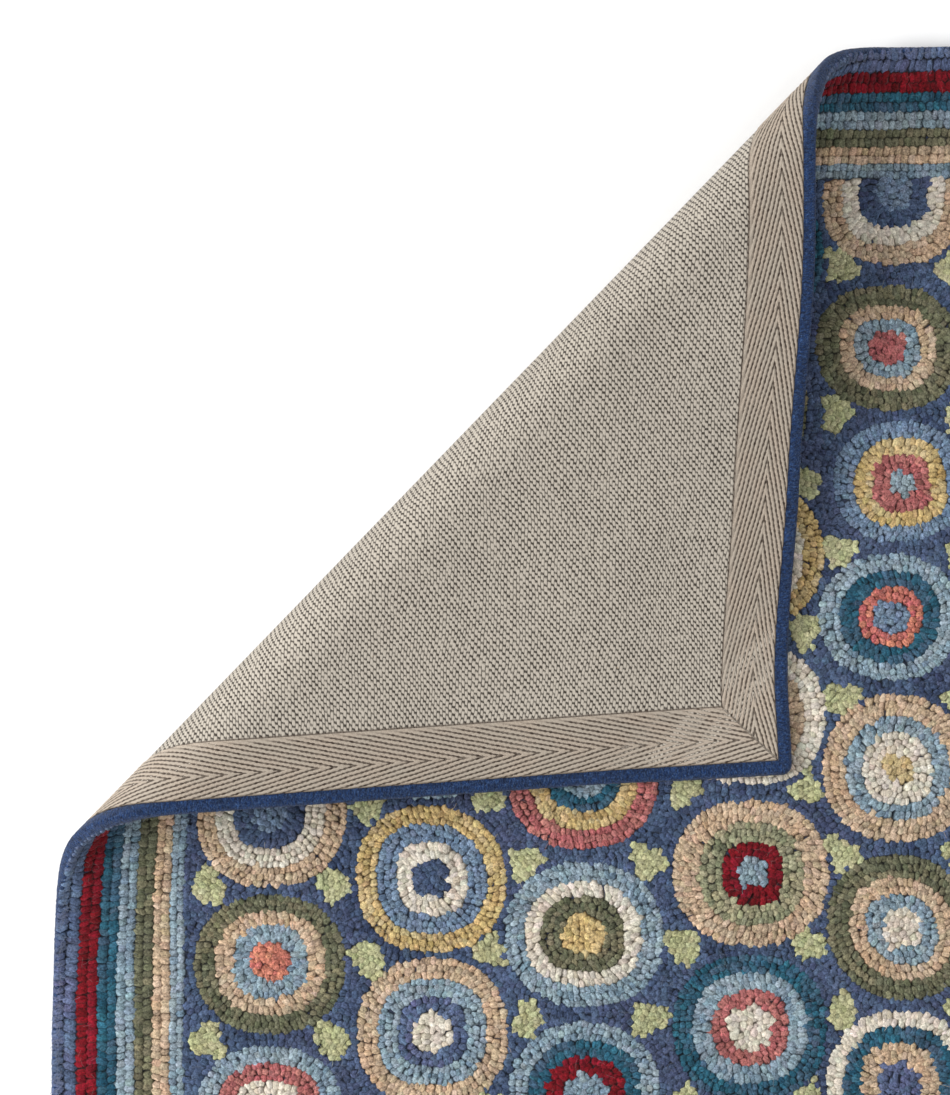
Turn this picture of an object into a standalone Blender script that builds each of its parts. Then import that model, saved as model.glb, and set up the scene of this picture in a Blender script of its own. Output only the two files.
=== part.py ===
"""A hooked wool rug lying on its back, with its top left corner turned over onto the pile.

Every piece is first drawn flat, as it is cut, hooked or wrapped: x runs across the rug, y along it, and z
is the height in the rug's own thickness, from the back that lies on the floor (0) to the tips of the loops.
All the pieces then go round the same fold, so they stay as far apart as they were drawn.
"""

from math import cos, pi, radians, sin, sqrt

import bmesh
import bpy
import numpy as np
from mathutils import Vector

# ---- the rug, flat (metres) ----
RUG_WIDTH = 0.610
RUG_LENGTH = 0.914
RUG_THICKNESS = 0.0085
CORNER_RADIUS = 0.005
CORNER_STEPS = 3
TIGHTEST_CORNER = 0.0004

GAP = 0.0003
BACK_THICKNESS = 0.0014      # the backing cloth and the tape, side by side

YARN_WIDTH = 0.0062          # the wrapped yarn, from the rim inwards, on the back
YARN_HEIGHT = 0.0050
YARN_OVERHANG = 0.0003       # the outer loops stand this far past the yarn

TAPE_SHOWN = 0.0295          # the tape is 32 mm wide, and the yarn is wrapped over the rest of it

# The yarn's section: how far in from the rim, and how far up from the floor.
YARN_SECTION = (
    # (inset, height)
    (YARN_WIDTH, 0.0006),
    (0.0054, 0.0001),
    (0.0046, 0.0000),
    (0.0020, 0.0000),
    (0.0010, 0.0006),
    (YARN_OVERHANG, 0.0022),
    (YARN_OVERHANG, YARN_HEIGHT),
    (YARN_WIDTH, YARN_HEIGHT),
)

# The pile's section: it reaches out over the yarn, and its rim is rounded by the outer row of loops.
PILE_FOOT = BACK_THICKNESS + GAP
PILE_SECTION = (
    # (inset, height)
    (YARN_WIDTH + GAP, PILE_FOOT),
    (YARN_WIDTH + GAP, YARN_HEIGHT + GAP),
    (0.0000, YARN_HEIGHT + GAP),
    (0.0000, 0.0068),
    (0.0008, 0.0080),
    (0.0026, RUG_THICKNESS),
)

# ---- the fold ----
FOLD_ANGLE = radians(46.1)        # the fold's own direction, from +x
FOLD_DISTANCE = 0.3529            # from the rug's corner, square to the fold, to where it starts to lift
ROLL_RADIUS = 0.0234
SETTLE_RADIUS = 0.1100
LIFT = radians(32.5)
OVERSHOOT = radians(16.3)         # the corner comes down at this slope before it settles
FOLD_SECTIONS = (
    # (what the cloth does, its length, how far it turns)
    ("lift", 0.0531, LIFT),
    ("roll", ROLL_RADIUS * (pi + OVERSHOOT - LIFT), pi + OVERSHOOT - LIFT),
    ("come down", None, 0.0),     # as long as it takes to reach the pile
    ("settle", SETTLE_RADIUS * OVERSHOOT, -OVERSHOOT),
)
BEND_EASE = 0.016                 # a bend starts and stops over this length of cloth
PILE_TO_PILE = 0.0004             # between the loops of the turned corner and the loops it lies on
FIRST_RUN_DOWN = 0.150            # a first guess at how long the corner takes to come down
PATH_LENGTH = 0.62                # more than the cloth that goes round the fold
PATH_STEP = 0.00025

# The cloth gives on the bias: the turned corner is a little wider and shorter than a right angle.
STRETCH_ALONG = 0.008
SHRINK_ACROSS = 0.070
TIP_SHIFT = -0.0120               # and its tip lies to the left of square

# The rug's top edge, which lies along the right of the turned corner, isn't quite straight.
TOP_EDGE_BOW = (
    # (distance from the corner, bow outwards)
    (0.000, 0.0000),
    (0.055, -0.0030),
    (0.150, 0.0002),
    (0.255, 0.0030),
    (0.350, -0.0003),
    (0.385, -0.0014),
    (0.430, -0.0024),
    (0.560, 0.0000),
)
BOW_REACH = 0.110                 # the bow dies out this far in from the edge

# The turned corner isn't quite flat between its ends.
RIPPLE_HEIGHT = 0.0008
RIPPLE_LENGTH = 0.190
RIPPLE_SLANT = 0.20
RIPPLE_RISE = 0.060               # it grows over this length from the crest of the roll
RIPPLE_ENDS = (0.220, 0.290)      # and dies out between these, where the corner comes down

# Where the cloth is cut into strips that bend: (until this far round the fold, strips this wide)
STRIPS = (
    (0.050, 0.0100),
    (0.135, 0.0038),
    (0.295, 0.0200),
    (0.360, 0.0080),
)
RIB_SPACING = 0.040               # lines square to the strips, for the ripples
RIB_COUNT = 8
CUT_SNAP = 1e-7
SHARP_ANGLE = radians(35)
CLOTH_ROUGHNESS = 0.95

ALONG = Vector((cos(FOLD_ANGLE), sin(FOLD_ANGLE), 0.0))
ACROSS = Vector((-sin(FOLD_ANGLE), cos(FOLD_ANGLE), 0.0))
CORNER = Vector((-RUG_WIDTH / 2, RUG_LENGTH / 2, 0.0))
FOLD_START = CORNER - ACROSS * FOLD_DISTANCE


def smooth(x):
    """0 at 0 and 1 at 1, level at both ends."""
    x = np.clip(x, 0.0, 1.0)
    return x * x * (3.0 - 2.0 * x)


def wave_through(rows, x):
    """A soft line through the rows of a two-column table, level at each row."""
    for (x0, y0), (x1, y1) in zip(rows, rows[1:]):
        if x0 <= x <= x1:
            return y0 + (y1 - y0) * float(smooth((x - x0) / (x1 - x0)))
    return 0.0


def run_profile(run_down):
    """The back's own path round the fold: its length, how far across, how high, and its slope."""
    steps = int(PATH_LENGTH / PATH_STEP)
    length = np.arange(steps) * PATH_STEP
    bend = np.zeros(steps)
    start = 0.0
    for _, section_length, turn in FOLD_SECTIONS:
        if section_length is None:
            section_length = run_down
        inside = (length >= start) & (length < start + section_length)
        bend[inside] = turn / (inside.sum() * PATH_STEP)
        start += section_length
    ease = np.hanning(int(BEND_EASE / PATH_STEP) + 2)
    bend = np.convolve(bend, ease / ease.sum(), mode="same")
    slope = np.cumsum(bend) * PATH_STEP
    across = np.cumsum(np.cos(slope)) * PATH_STEP
    height = np.cumsum(np.sin(slope)) * PATH_STEP
    return length, across, height, slope


def fold_profile():
    """The path whose turned corner comes to lie on the pile."""
    rest_height = 2 * RUG_THICKNESS + PILE_TO_PILE
    run_down = FIRST_RUN_DOWN
    for _ in range(3):
        length, across, height, slope = run_profile(run_down)
        run_down += (height[-1] - rest_height) / sin(OVERSHOOT)
    return length, across, height, slope


LIFT_LENGTH = FOLD_SECTIONS[0][1]
ROLL_LENGTH = FOLD_SECTIONS[1][1]
CREST = LIFT_LENGTH + ROLL_LENGTH / 2


def strip_lines():
    """Distances round the fold at which every piece is cut into strips."""
    lines = [0.0]
    for until, width in STRIPS:
        count = max(1, round((until - lines[-1]) / width))
        first = lines[-1]
        lines += [first + (until - first) * (k + 1) / count for k in range(count)]
    return lines


def line_places(lines):
    """At each line: how far across and how high the back lies, and the way through the cloth."""
    lines = np.array(lines)
    shrunk = np.where(lines > CREST, CREST + (lines - CREST) * (1.0 - SHRINK_ACROSS), lines)
    length, across, height, slope = fold_profile()
    slopes = np.interp(shrunk, length, slope)
    return (np.interp(shrunk, length, across), np.interp(shrunk, length, height),
            -np.sin(slopes), np.cos(slopes))


LINES = strip_lines()
LINE_OUT, LINE_UP, LINE_THROUGH_OUT, LINE_THROUGH_UP = line_places(LINES)


def bowed(point):
    """The flat rug with its top edge bowed near the corner."""
    inwards = RUG_LENGTH / 2 - point.y
    fade = 1.0 - float(smooth(inwards / BOW_REACH))
    bow = wave_through(TOP_EDGE_BOW, point.x + RUG_WIDTH / 2)
    return Vector((point.x, point.y + bow * fade, point.z))


def ripple(across, along):
    """How far the hanging part of the corner is up or down from its even slope."""
    begin, end = RIPPLE_ENDS
    rising = float(smooth((across - CREST) / RIPPLE_RISE))
    settling = 1.0 - float(smooth((across - begin) / (end - begin)))
    phase = 2 * pi * (along + RIPPLE_SLANT * across) / RIPPLE_LENGTH
    return RIPPLE_HEIGHT * rising * settling * sin(phase)


def folded(point):
    """Where a point of the flat rug comes to lie."""
    point = bowed(point)
    flat = Vector((point.x, point.y, 0.0)) - FOLD_START
    across = flat.dot(ACROSS)
    along = flat.dot(ALONG)
    if across <= 0.0:
        return point
    turned = float(smooth((across - LIFT_LENGTH) / ROLL_LENGTH))
    tipwards = max(0.0, min(1.0, (across - LIFT_LENGTH) / (FOLD_DISTANCE - LIFT_LENGTH)))
    lift = ripple(across, along)
    along = along * (1.0 + STRETCH_ALONG * turned) + TIP_SHIFT * tipwards
    out = np.interp(across, LINES, LINE_OUT) + point.z * np.interp(across, LINES, LINE_THROUGH_OUT)
    up = np.interp(across, LINES, LINE_UP) + point.z * np.interp(across, LINES, LINE_THROUGH_UP)
    place = FOLD_START + ALONG * along + ACROSS * float(out)
    return Vector((place.x, place.y, float(up) + lift))


def cut(shape, faces, place, direction):
    """Cut new edges into these faces where a plane crosses them."""
    parts = set(faces)
    for face in faces:
        parts.update(face.edges)
        parts.update(face.verts)
    bmesh.ops.bisect_plane(shape, geom=list(parts), dist=CUT_SNAP, plane_co=place, plane_no=direction)


def lifted(shape):
    """The faces that the fold lifts off the floor."""
    return [f for f in shape.faces if (f.calc_center_median() - FOLD_START).dot(ACROSS) > 0.0]


def make_piece(name, shape, material, rug):
    """Cut a flat shape into strips, lay it round the fold, and put it in the scene."""
    bmesh.ops.recalc_face_normals(shape, faces=list(shape.faces))
    for distance in LINES:
        cut(shape, list(shape.faces), FOLD_START + ACROSS * distance, ACROSS)
    for k in range(-RIB_COUNT, RIB_COUNT + 1):
        cut(shape, lifted(shape), FOLD_START + ALONG * (RIB_SPACING * k), ALONG)
    bmesh.ops.triangulate(shape, faces=list(shape.faces))
    for vert in shape.verts:
        vert.co = folded(vert.co)
    mesh = bpy.data.meshes.new(name)
    shape.to_mesh(mesh)
    shape.free()
    mesh.shade_smooth()
    mesh.set_sharp_from_angle(angle=SHARP_ANGLE)
    mesh.materials.append(material)
    piece = bpy.data.objects.new(name, mesh)
    piece.parent = rug
    bpy.context.scene.collection.objects.link(piece)
    return piece


def rim_points(inset, height):
    """The rug's outline with rounded corners, this far in from the rim."""
    radius = max(CORNER_RADIUS - inset, TIGHTEST_CORNER)
    half_x = RUG_WIDTH / 2 - inset - radius
    half_y = RUG_LENGTH / 2 - inset - radius
    points = []
    for quarter, (side_x, side_y) in enumerate(((1, 1), (-1, 1), (-1, -1), (1, -1))):
        for k in range(CORNER_STEPS + 1):
            angle = (quarter + k / CORNER_STEPS) * pi / 2
            x = side_x * half_x + radius * cos(angle)
            y = side_y * half_y + radius * sin(angle)
            points.append(Vector((x, y, height)))
    return points


def join_loops(shape, loops, closed):
    """Faces between each loop of points and the next."""
    rings = [[shape.verts.new(p) for p in loop] for loop in loops]
    pairs = list(zip(rings, rings[1:]))
    if closed:
        pairs.append((rings[-1], rings[0]))
    for low, high in pairs:
        for k in range(len(low)):
            j = (k + 1) % len(low)
            shape.faces.new((low[k], low[j], high[j], high[k]))
    return rings


def pile_shape():
    """One slab over the whole rug, hollowed under its rim for the yarn."""
    shape = bmesh.new()
    rings = join_loops(shape, [rim_points(*row) for row in PILE_SECTION], closed=False)
    shape.faces.new(list(reversed(rings[0])))
    shape.faces.new(rings[-1])
    return shape


def yarn_shape():
    """A rounded band all the way round under the pile's rim."""
    shape = bmesh.new()
    join_loops(shape, [rim_points(*row) for row in YARN_SECTION], closed=True)
    return shape


def prism(outline, thickness):
    """A flat sheet with this outline, on the floor."""
    shape = bmesh.new()
    low = [Vector((x, y, 0.0)) for x, y in outline]
    high = [Vector((x, y, thickness)) for x, y in outline]
    rings = join_loops(shape, [low, high], closed=False)
    shape.faces.new(list(reversed(rings[0])))
    shape.faces.new(rings[1])
    return shape


def backing_shape():
    """The plain cloth inside the tape."""
    inset = YARN_WIDTH + GAP + TAPE_SHOWN + GAP
    half_x = RUG_WIDTH / 2 - inset
    half_y = RUG_LENGTH / 2 - inset
    outline = ((-half_x, -half_y), (half_x, -half_y), (half_x, half_y), (-half_x, half_y))
    return prism(outline, BACK_THICKNESS)


def tape_shape(side):
    """One length of tape, mitred at both ends, along the top, bottom, left or right of the back."""
    long_half, far = RUG_WIDTH / 2, RUG_LENGTH / 2
    if side in ("left", "right"):
        long_half, far = far, long_half
    outer = YARN_WIDTH + GAP
    inner = outer + TAPE_SHOWN
    mitre = GAP / sqrt(2)
    outline = (
        (-(long_half - outer - mitre), far - outer),
        (-(long_half - inner - mitre), far - inner),
        (long_half - inner - mitre, far - inner),
        (long_half - outer - mitre, far - outer),
    )
    turn = {"top": 0, "left": 1, "bottom": 2, "right": 3}[side]
    for _ in range(turn):
        outline = tuple((-y, x) for x, y in outline)
    return prism(outline, BACK_THICKNESS)


def wool_or_cloth(name, colour):
    """A plain matt material of one colour."""
    material = bpy.data.materials.new(name)
    material.use_nodes = True
    shader = material.node_tree.nodes["Principled BSDF"]
    shader.inputs["Base Color"].default_value = (*colour, 1.0)
    shader.inputs["Roughness"].default_value = CLOTH_ROUGHNESS
    shader.inputs["Metallic"].default_value = 0.0
    return material


def main():
    for old in list(bpy.data.objects):
        bpy.data.objects.remove(old)
    rug = bpy.data.objects.new("rug", None)
    bpy.context.scene.collection.objects.link(rug)
    make_piece("hooked_pile", pile_shape(), wool_or_cloth("looped wool", (0.17, 0.22, 0.34)), rug)
    make_piece("edge_whipping", yarn_shape(), wool_or_cloth("blue yarn", (0.045, 0.085, 0.22)), rug)
    make_piece("backing_cloth", backing_shape(), wool_or_cloth("greige cloth", (0.45, 0.40, 0.32)), rug)
    for side in ("left", "top", "right", "bottom"):
        tape = wool_or_cloth(side + " tape", (0.50, 0.42, 0.33))
        make_piece("tape_" + side, tape_shape(side), tape, rug)


main()
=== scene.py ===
# %% [markdown]
# # A hooked wool rug with one corner turned over
# The rug is hooked wool: loops of thick yarn are pulled up through a coarse cloth, row beside row.
# Its edge is wrapped with blue yarn, and a herringbone tape is sewn round the back.
# One corner is turned over onto the pile, so the picture shows both sides at once.
#
# This lesson dresses a plain model of that rug. The plain model gives the sizes and the way the rug lies.
# Every piece below is first laid out flat, as the maker lays it out, and then goes round the same fold.

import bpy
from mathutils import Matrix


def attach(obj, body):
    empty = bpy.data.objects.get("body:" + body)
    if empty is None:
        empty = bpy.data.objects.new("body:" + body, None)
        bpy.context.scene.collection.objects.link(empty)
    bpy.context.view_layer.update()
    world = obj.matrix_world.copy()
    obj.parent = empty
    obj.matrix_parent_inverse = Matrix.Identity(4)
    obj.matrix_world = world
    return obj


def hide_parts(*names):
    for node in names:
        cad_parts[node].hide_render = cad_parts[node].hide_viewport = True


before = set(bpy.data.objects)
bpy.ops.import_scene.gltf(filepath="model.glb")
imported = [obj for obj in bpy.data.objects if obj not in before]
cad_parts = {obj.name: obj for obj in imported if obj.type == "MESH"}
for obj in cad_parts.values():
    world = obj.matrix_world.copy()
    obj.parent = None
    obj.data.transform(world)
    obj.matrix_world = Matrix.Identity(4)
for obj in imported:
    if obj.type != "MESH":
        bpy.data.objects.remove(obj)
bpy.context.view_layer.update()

# %% [markdown]
# ## The tools of the lesson
# NumPy works out many points at once, which matters here because the rug has over forty thousand loops.
# A seeded random generator gives each loop its own small differences, the same ones on every run.

# %% Modules
from math import cos, pi, radians, sin, sqrt

import bmesh
import bpy
import numpy as np
from mathutils import Vector
from mathutils.kdtree import KDTree

chance = np.random.default_rng(7)
scene = bpy.context.scene
MM = 0.001
TINY = 1e-7                  # a length below this counts as nothing

# %% [markdown]
# ## The camera
# The picture was taken from nearly straight above, so that the rug fills the frame and runs out of it.
# A long lens from 2.5 m keeps the rug's edges straight. The lens follows from how many millimetres of rug
# one pixel covers: sensor width / picture width = lens / (distance * pixels per metre).

# %% Camera
PICTURE_LONG_SIDE = 1095
METRES_PER_PIXEL = 0.00051
CAMERA_DISTANCE = 2.5
CAMERA_ELEVATION = radians(85.06)
CAMERA_TARGET = Vector((-0.0917, 0.1969, 0.0))
SENSOR_MM = 36.0

camera_data = bpy.data.cameras.new("camera")
camera_data.sensor_width = SENSOR_MM
camera_data.lens = SENSOR_MM * CAMERA_DISTANCE / METRES_PER_PIXEL / PICTURE_LONG_SIDE
camera = bpy.data.objects.new("camera", camera_data)
scene.collection.objects.link(camera)
camera_back = Vector((0.0, -cos(CAMERA_ELEVATION), sin(CAMERA_ELEVATION)))
camera.location = CAMERA_TARGET + camera_back * CAMERA_DISTANCE
camera.rotation_euler = camera_back.to_track_quat("Z", "Y").to_euler()
scene.camera = camera
print("lens:", round(camera_data.lens, 1), "mm")

# %% [markdown]
# ## Shader maths as plain expressions
# A material is a graph of nodes, and long graphs are hard to read. This small class wraps one output of
# a node, so that `1 - mask` or `height * 0.5 + noise` adds the Math nodes by itself.
# Colours never go through Math nodes, which would turn them grey: they have `mix` and `tint`.

# %% A value in a material
MATT_GLOSS = 0.12            # wool, cloth and paper have hardly any
SHEEN_ROUGHNESS = 0.5
BUMP_STRENGTH = 0.8


class Value:
    """One output of a node. + - * / on it add the Math nodes that work them out."""

    def __init__(self, look, socket):
        self.look = look
        self.socket = socket

    def maths(self, operation, *others, swapped=False):
        values = (self, *others)
        if swapped:
            values = tuple(reversed(values))
        return self.look.node("ShaderNodeMath", {"operation": operation}, dict(enumerate(values)))

    def __add__(self, other):
        return self.maths("ADD", other)

    def __radd__(self, other):
        return self.maths("ADD", other)

    def __mul__(self, other):
        return self.maths("MULTIPLY", other)

    def __rmul__(self, other):
        return self.maths("MULTIPLY", other)

    def __sub__(self, other):
        return self.maths("SUBTRACT", other)

    def __rsub__(self, other):
        return self.maths("SUBTRACT", other, swapped=True)

    def __truediv__(self, other):
        return self.maths("DIVIDE", other)

    def sine(self):
        return self.maths("SINE")

    def absolute(self):
        return self.maths("ABSOLUTE")

    def whole(self):
        return self.maths("FLOOR")

    def fraction(self):
        return self.maths("FRACT")


# %% A material, one line at a time
class Look:
    """A material whose nodes are made one line at a time."""

    def __init__(self, name, roughness=0.95, sheen=0.0):
        self.material = bpy.data.materials.new(name)
        self.material.use_nodes = True
        self.nodes = self.material.node_tree.nodes
        self.shader = self.nodes["Principled BSDF"]
        self.shader.inputs["Roughness"].default_value = roughness
        self.shader.inputs["Specular IOR Level"].default_value = MATT_GLOSS
        self.shader.inputs["Sheen Weight"].default_value = sheen
        self.shader.inputs["Sheen Roughness"].default_value = SHEEN_ROUGHNESS

    def plug(self, socket, value):
        """Link a value to a socket, or set the socket to a number, a vector or an opaque colour."""
        if isinstance(value, Value):
            self.material.node_tree.links.new(value.socket, socket)
        elif hasattr(value, "__len__"):
            socket.default_value = (*value, 1.0)[:len(socket.default_value)]
        else:
            socket.default_value = value

    def node(self, kind, settings=None, sockets=None, output=0):
        """Add a node: its settings first, then the values or links of its sockets."""
        made = self.nodes.new(kind)
        for name, value in (settings or {}).items():
            setattr(made, name, value)
        for key, value in (sockets or {}).items():
            self.plug(made.inputs[key], value)
        return Value(self, made.outputs[output])

    def stored(self, name, output="Color"):
        """What the mesh stores under this name."""
        return self.node("ShaderNodeAttribute", {"attribute_name": name}, output=output)

    def parts(self, vector):
        """The x, y and z of a vector."""
        split = self.nodes.new("ShaderNodeSeparateXYZ")
        self.plug(split.inputs[0], vector)
        return [Value(self, out) for out in split.outputs]

    def vector(self, x, y, z=0.0):
        return self.node("ShaderNodeCombineXYZ", None, {0: x, 1: y, 2: z})

    def noise(self, vector, scale, detail=2.0, roughness=0.5):
        """Cloudy noise from about 0 to 1."""
        sockets = {"Vector": vector, "Scale": scale, "Detail": detail, "Roughness": roughness}
        return self.node("ShaderNodeTexNoise", None, sockets)

    def spread(self, value, low, high, to_low=0.0, to_high=1.0):
        """Stretch low..high to to_low..to_high, and hold it there beyond."""
        sockets = {"Value": value, 1: low, 2: high, 3: to_low, 4: to_high}
        return self.node("ShaderNodeMapRange", {"interpolation_type": "SMOOTHSTEP"}, sockets)

    def mix(self, factor, first, second, blend="MIX"):
        """A colour between two colours."""
        settings = {"data_type": "RGBA", "blend_type": blend}
        return self.node("ShaderNodeMix", settings, {0: factor, 6: first, 7: second}, output=2)

    def tint(self, colour, value):
        """A colour made lighter or darker by a number that changes over the surface."""
        return self.node("ShaderNodeVectorMath", {"operation": "SCALE"}, {0: colour, "Scale": value})

    def raised(self, height, distance):
        """A Bump node: height is 0 to 1, and distance is how many metres that stands for."""
        sockets = {"Strength": BUMP_STRENGTH, "Distance": distance, "Height": height}
        return self.node("ShaderNodeBump", None, sockets)

    def finish(self, colour, normal=None):
        """Plug in what changes over the surface, and give back the finished material."""
        self.plug(self.shader.inputs["Base Color"], colour)
        if normal is not None:
            self.plug(self.shader.inputs["Normal"], normal)
        print("material:", self.material.name, len(self.nodes), "nodes")
        return self.material


# %% [markdown]
# ## The floor and the light
# A pale sheet of paper is all that lies under the rug. One large soft lamp stands high on the left,
# because the pile right of the turned corner lies in shade in the picture, and a pale sky fills in.
# A big lamp matters more than a bright one: it draws the loops with soft edges.

# %% Floor and light
FLOOR_HALF = 3.0
FLOOR_DROP = 0.0002             # just under the rug, so that the two don't flicker
FLOOR_COLOUR = (0.86, 0.86, 0.86)
LAMP_TURN = radians(187)        # where it stands, from +x
LAMP_TILT = radians(56)         # from straight above
LAMP_DISTANCE = 2.6
LAMP_SIZE = 1.3
LAMP_POWER = 72.0
SKY_STRENGTH = 0.92

floor_shape = bmesh.new()
bmesh.ops.create_grid(floor_shape, x_segments=8, y_segments=8, size=FLOOR_HALF)
floor_mesh = bpy.data.meshes.new("floor")
floor_shape.to_mesh(floor_mesh)
floor_shape.free()
floor = bpy.data.objects.new("floor", floor_mesh)
floor.location.z = -FLOOR_DROP
scene.collection.objects.link(floor)
paper = Look("pale floor", roughness=0.9)
paper_grain = paper.noise(paper.node("ShaderNodeNewGeometry"), 90.0)
floor_mesh.materials.append(paper.finish(paper.tint(FLOOR_COLOUR, 0.99 + 0.02 * paper_grain)))

lamp_data = bpy.data.lights.new("soft lamp", "AREA")
lamp_data.shape = "DISK"
lamp_data.size = LAMP_SIZE
lamp_data.energy = LAMP_POWER
lamp = bpy.data.objects.new("soft lamp", lamp_data)
lamp_way = Vector((cos(LAMP_TURN) * sin(LAMP_TILT), sin(LAMP_TURN) * sin(LAMP_TILT), cos(LAMP_TILT)))
lamp.location = CAMERA_TARGET + lamp_way * LAMP_DISTANCE
lamp.rotation_euler = lamp_way.to_track_quat("Z", "Y").to_euler()
scene.collection.objects.link(lamp)

sky = bpy.data.worlds.new("pale sky")
sky.use_nodes = True
sky.node_tree.nodes["Background"].inputs["Color"].default_value = (1.0, 1.0, 1.0, 1.0)
sky.node_tree.nodes["Background"].inputs["Strength"].default_value = SKY_STRENGTH
scene.world = sky
scene.view_settings.view_transform = "Standard"

# %% [markdown]
# ## The fold
# Cloth that is turned over lifts off the floor, rolls round, comes down at a slope and settles on the pile.
# So the back of the rug follows a path of four stretches, each with its own length and its own turn.
# Adding up the turn along the path gives its slope, and adding up the slope gives where the cloth lies.
# Yarn and tape follow the same path a few millimetres above or below it.

# %% The rug's sizes
RUG_WIDTH = 0.610
RUG_LENGTH = 0.914
RUG_THICKNESS = 0.0085
BACK_THICKNESS = 0.0014
GAP = 0.0003
YARN_WIDTH = 0.0062
TAPE_SHOWN = 0.0295

FOLD_ANGLE = radians(46.1)        # the fold's own direction, from +x
FOLD_DISTANCE = 0.3529            # from the rug's corner, square to the fold, to where it lifts
ROLL_RADIUS = 0.0234
SETTLE_RADIUS = 0.1100
LIFT = radians(32.5)
OVERSHOOT = radians(16.3)         # the corner comes down at this slope before it settles
FOLD_SECTIONS = (
    # (what the cloth does, its length, how far it turns)
    ("lift", 0.0531, LIFT),
    ("roll", ROLL_RADIUS * (pi + OVERSHOOT - LIFT), pi + OVERSHOOT - LIFT),
    ("come down", None, 0.0),     # as long as it takes to reach the pile
    ("settle", SETTLE_RADIUS * OVERSHOOT, -OVERSHOOT),
)
BEND_EASE = 0.016                 # a bend starts and stops over this length of cloth
PILE_TO_PILE = 0.0004
FIRST_RUN_DOWN = 0.150            # a first guess at how long the corner takes to come down
GUESSES = 3
PATH_LENGTH = 0.62
PATH_STEP = 0.00025

STRETCH_ALONG = 0.008             # cloth gives on the bias
SHRINK_ACROSS = 0.070
TIP_SHIFT = -0.0120

TOP_EDGE_BOW = (
    # (distance from the corner, bow outwards)
    (0.000, 0.0000),
    (0.055, -0.0030),
    (0.150, 0.0002),
    (0.255, 0.0030),
    (0.350, -0.0003),
    (0.385, -0.0014),
    (0.430, -0.0024),
    (0.560, 0.0000),
)
BOW_REACH = 0.110
RIPPLE_HEIGHT = 0.0008
RIPPLE_LENGTH = 0.190
RIPPLE_SLANT = 0.20
RIPPLE_RISE = 0.060
RIPPLE_ENDS = (0.220, 0.290)

HALF_RUG = np.array((RUG_WIDTH / 2, RUG_LENGTH / 2))
ALONG = np.array((cos(FOLD_ANGLE), sin(FOLD_ANGLE)))
ACROSS = np.array((-sin(FOLD_ANGLE), cos(FOLD_ANGLE)))
FOLD_START = np.array((-RUG_WIDTH / 2, RUG_LENGTH / 2)) - ACROSS * FOLD_DISTANCE
LIFT_LENGTH = FOLD_SECTIONS[0][1]
ROLL_LENGTH = FOLD_SECTIONS[1][1]
CREST = LIFT_LENGTH + ROLL_LENGTH / 2


# %% The path of the back
def smooth(x):
    """0 at 0 and 1 at 1, level at both ends."""
    x = np.clip(x, 0.0, 1.0)
    return x * x * (3.0 - 2.0 * x)


def run_profile(run_down):
    """The back's own path round the fold: its length, how far across, how high, and its slope."""
    steps = int(PATH_LENGTH / PATH_STEP)
    length = np.arange(steps) * PATH_STEP
    bend = np.zeros(steps)
    start = 0.0
    for _, section_length, turn in FOLD_SECTIONS:
        if section_length is None:
            section_length = run_down
        inside = (length >= start) & (length < start + section_length)
        bend[inside] = turn / (inside.sum() * PATH_STEP)
        start += section_length
    ease = np.hanning(int(BEND_EASE / PATH_STEP) + 2)
    bend = np.convolve(bend, ease / ease.sum(), mode="same")
    slope = np.cumsum(bend) * PATH_STEP
    across = np.cumsum(np.cos(slope)) * PATH_STEP
    height = np.cumsum(np.sin(slope)) * PATH_STEP
    return length, across, height, slope


rest_height = 2 * RUG_THICKNESS + PILE_TO_PILE
run_down = FIRST_RUN_DOWN
for _ in range(GUESSES):
    PATH, PATH_ACROSS, PATH_HEIGHT, PATH_SLOPE = run_profile(run_down)
    run_down += (PATH_HEIGHT[-1] - rest_height) / sin(OVERSHOOT)
print("the roll is", round(PATH_HEIGHT.max() * 1000, 1), "mm high")


# %% [markdown]
# The function below is the heart of the lesson. It takes points of the flat rug, with their height in the
# rug's own thickness, and gives back where they come to lie. Every piece uses it, so nothing needs fitting.

# %% Lay flat points round the fold
def bowed(x, y):
    """The flat rug with its top edge bowed near the corner."""
    places, bows = np.array(TOP_EDGE_BOW).T
    along = x + RUG_WIDTH / 2
    k = np.clip(np.searchsorted(places, along, side="right") - 1, 0, len(places) - 2)
    share = (along - places[k]) / (places[k + 1] - places[k])
    bow = bows[k] + (bows[k + 1] - bows[k]) * smooth(share)
    return y + bow * (1.0 - smooth((RUG_LENGTH / 2 - y) / BOW_REACH))


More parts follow.
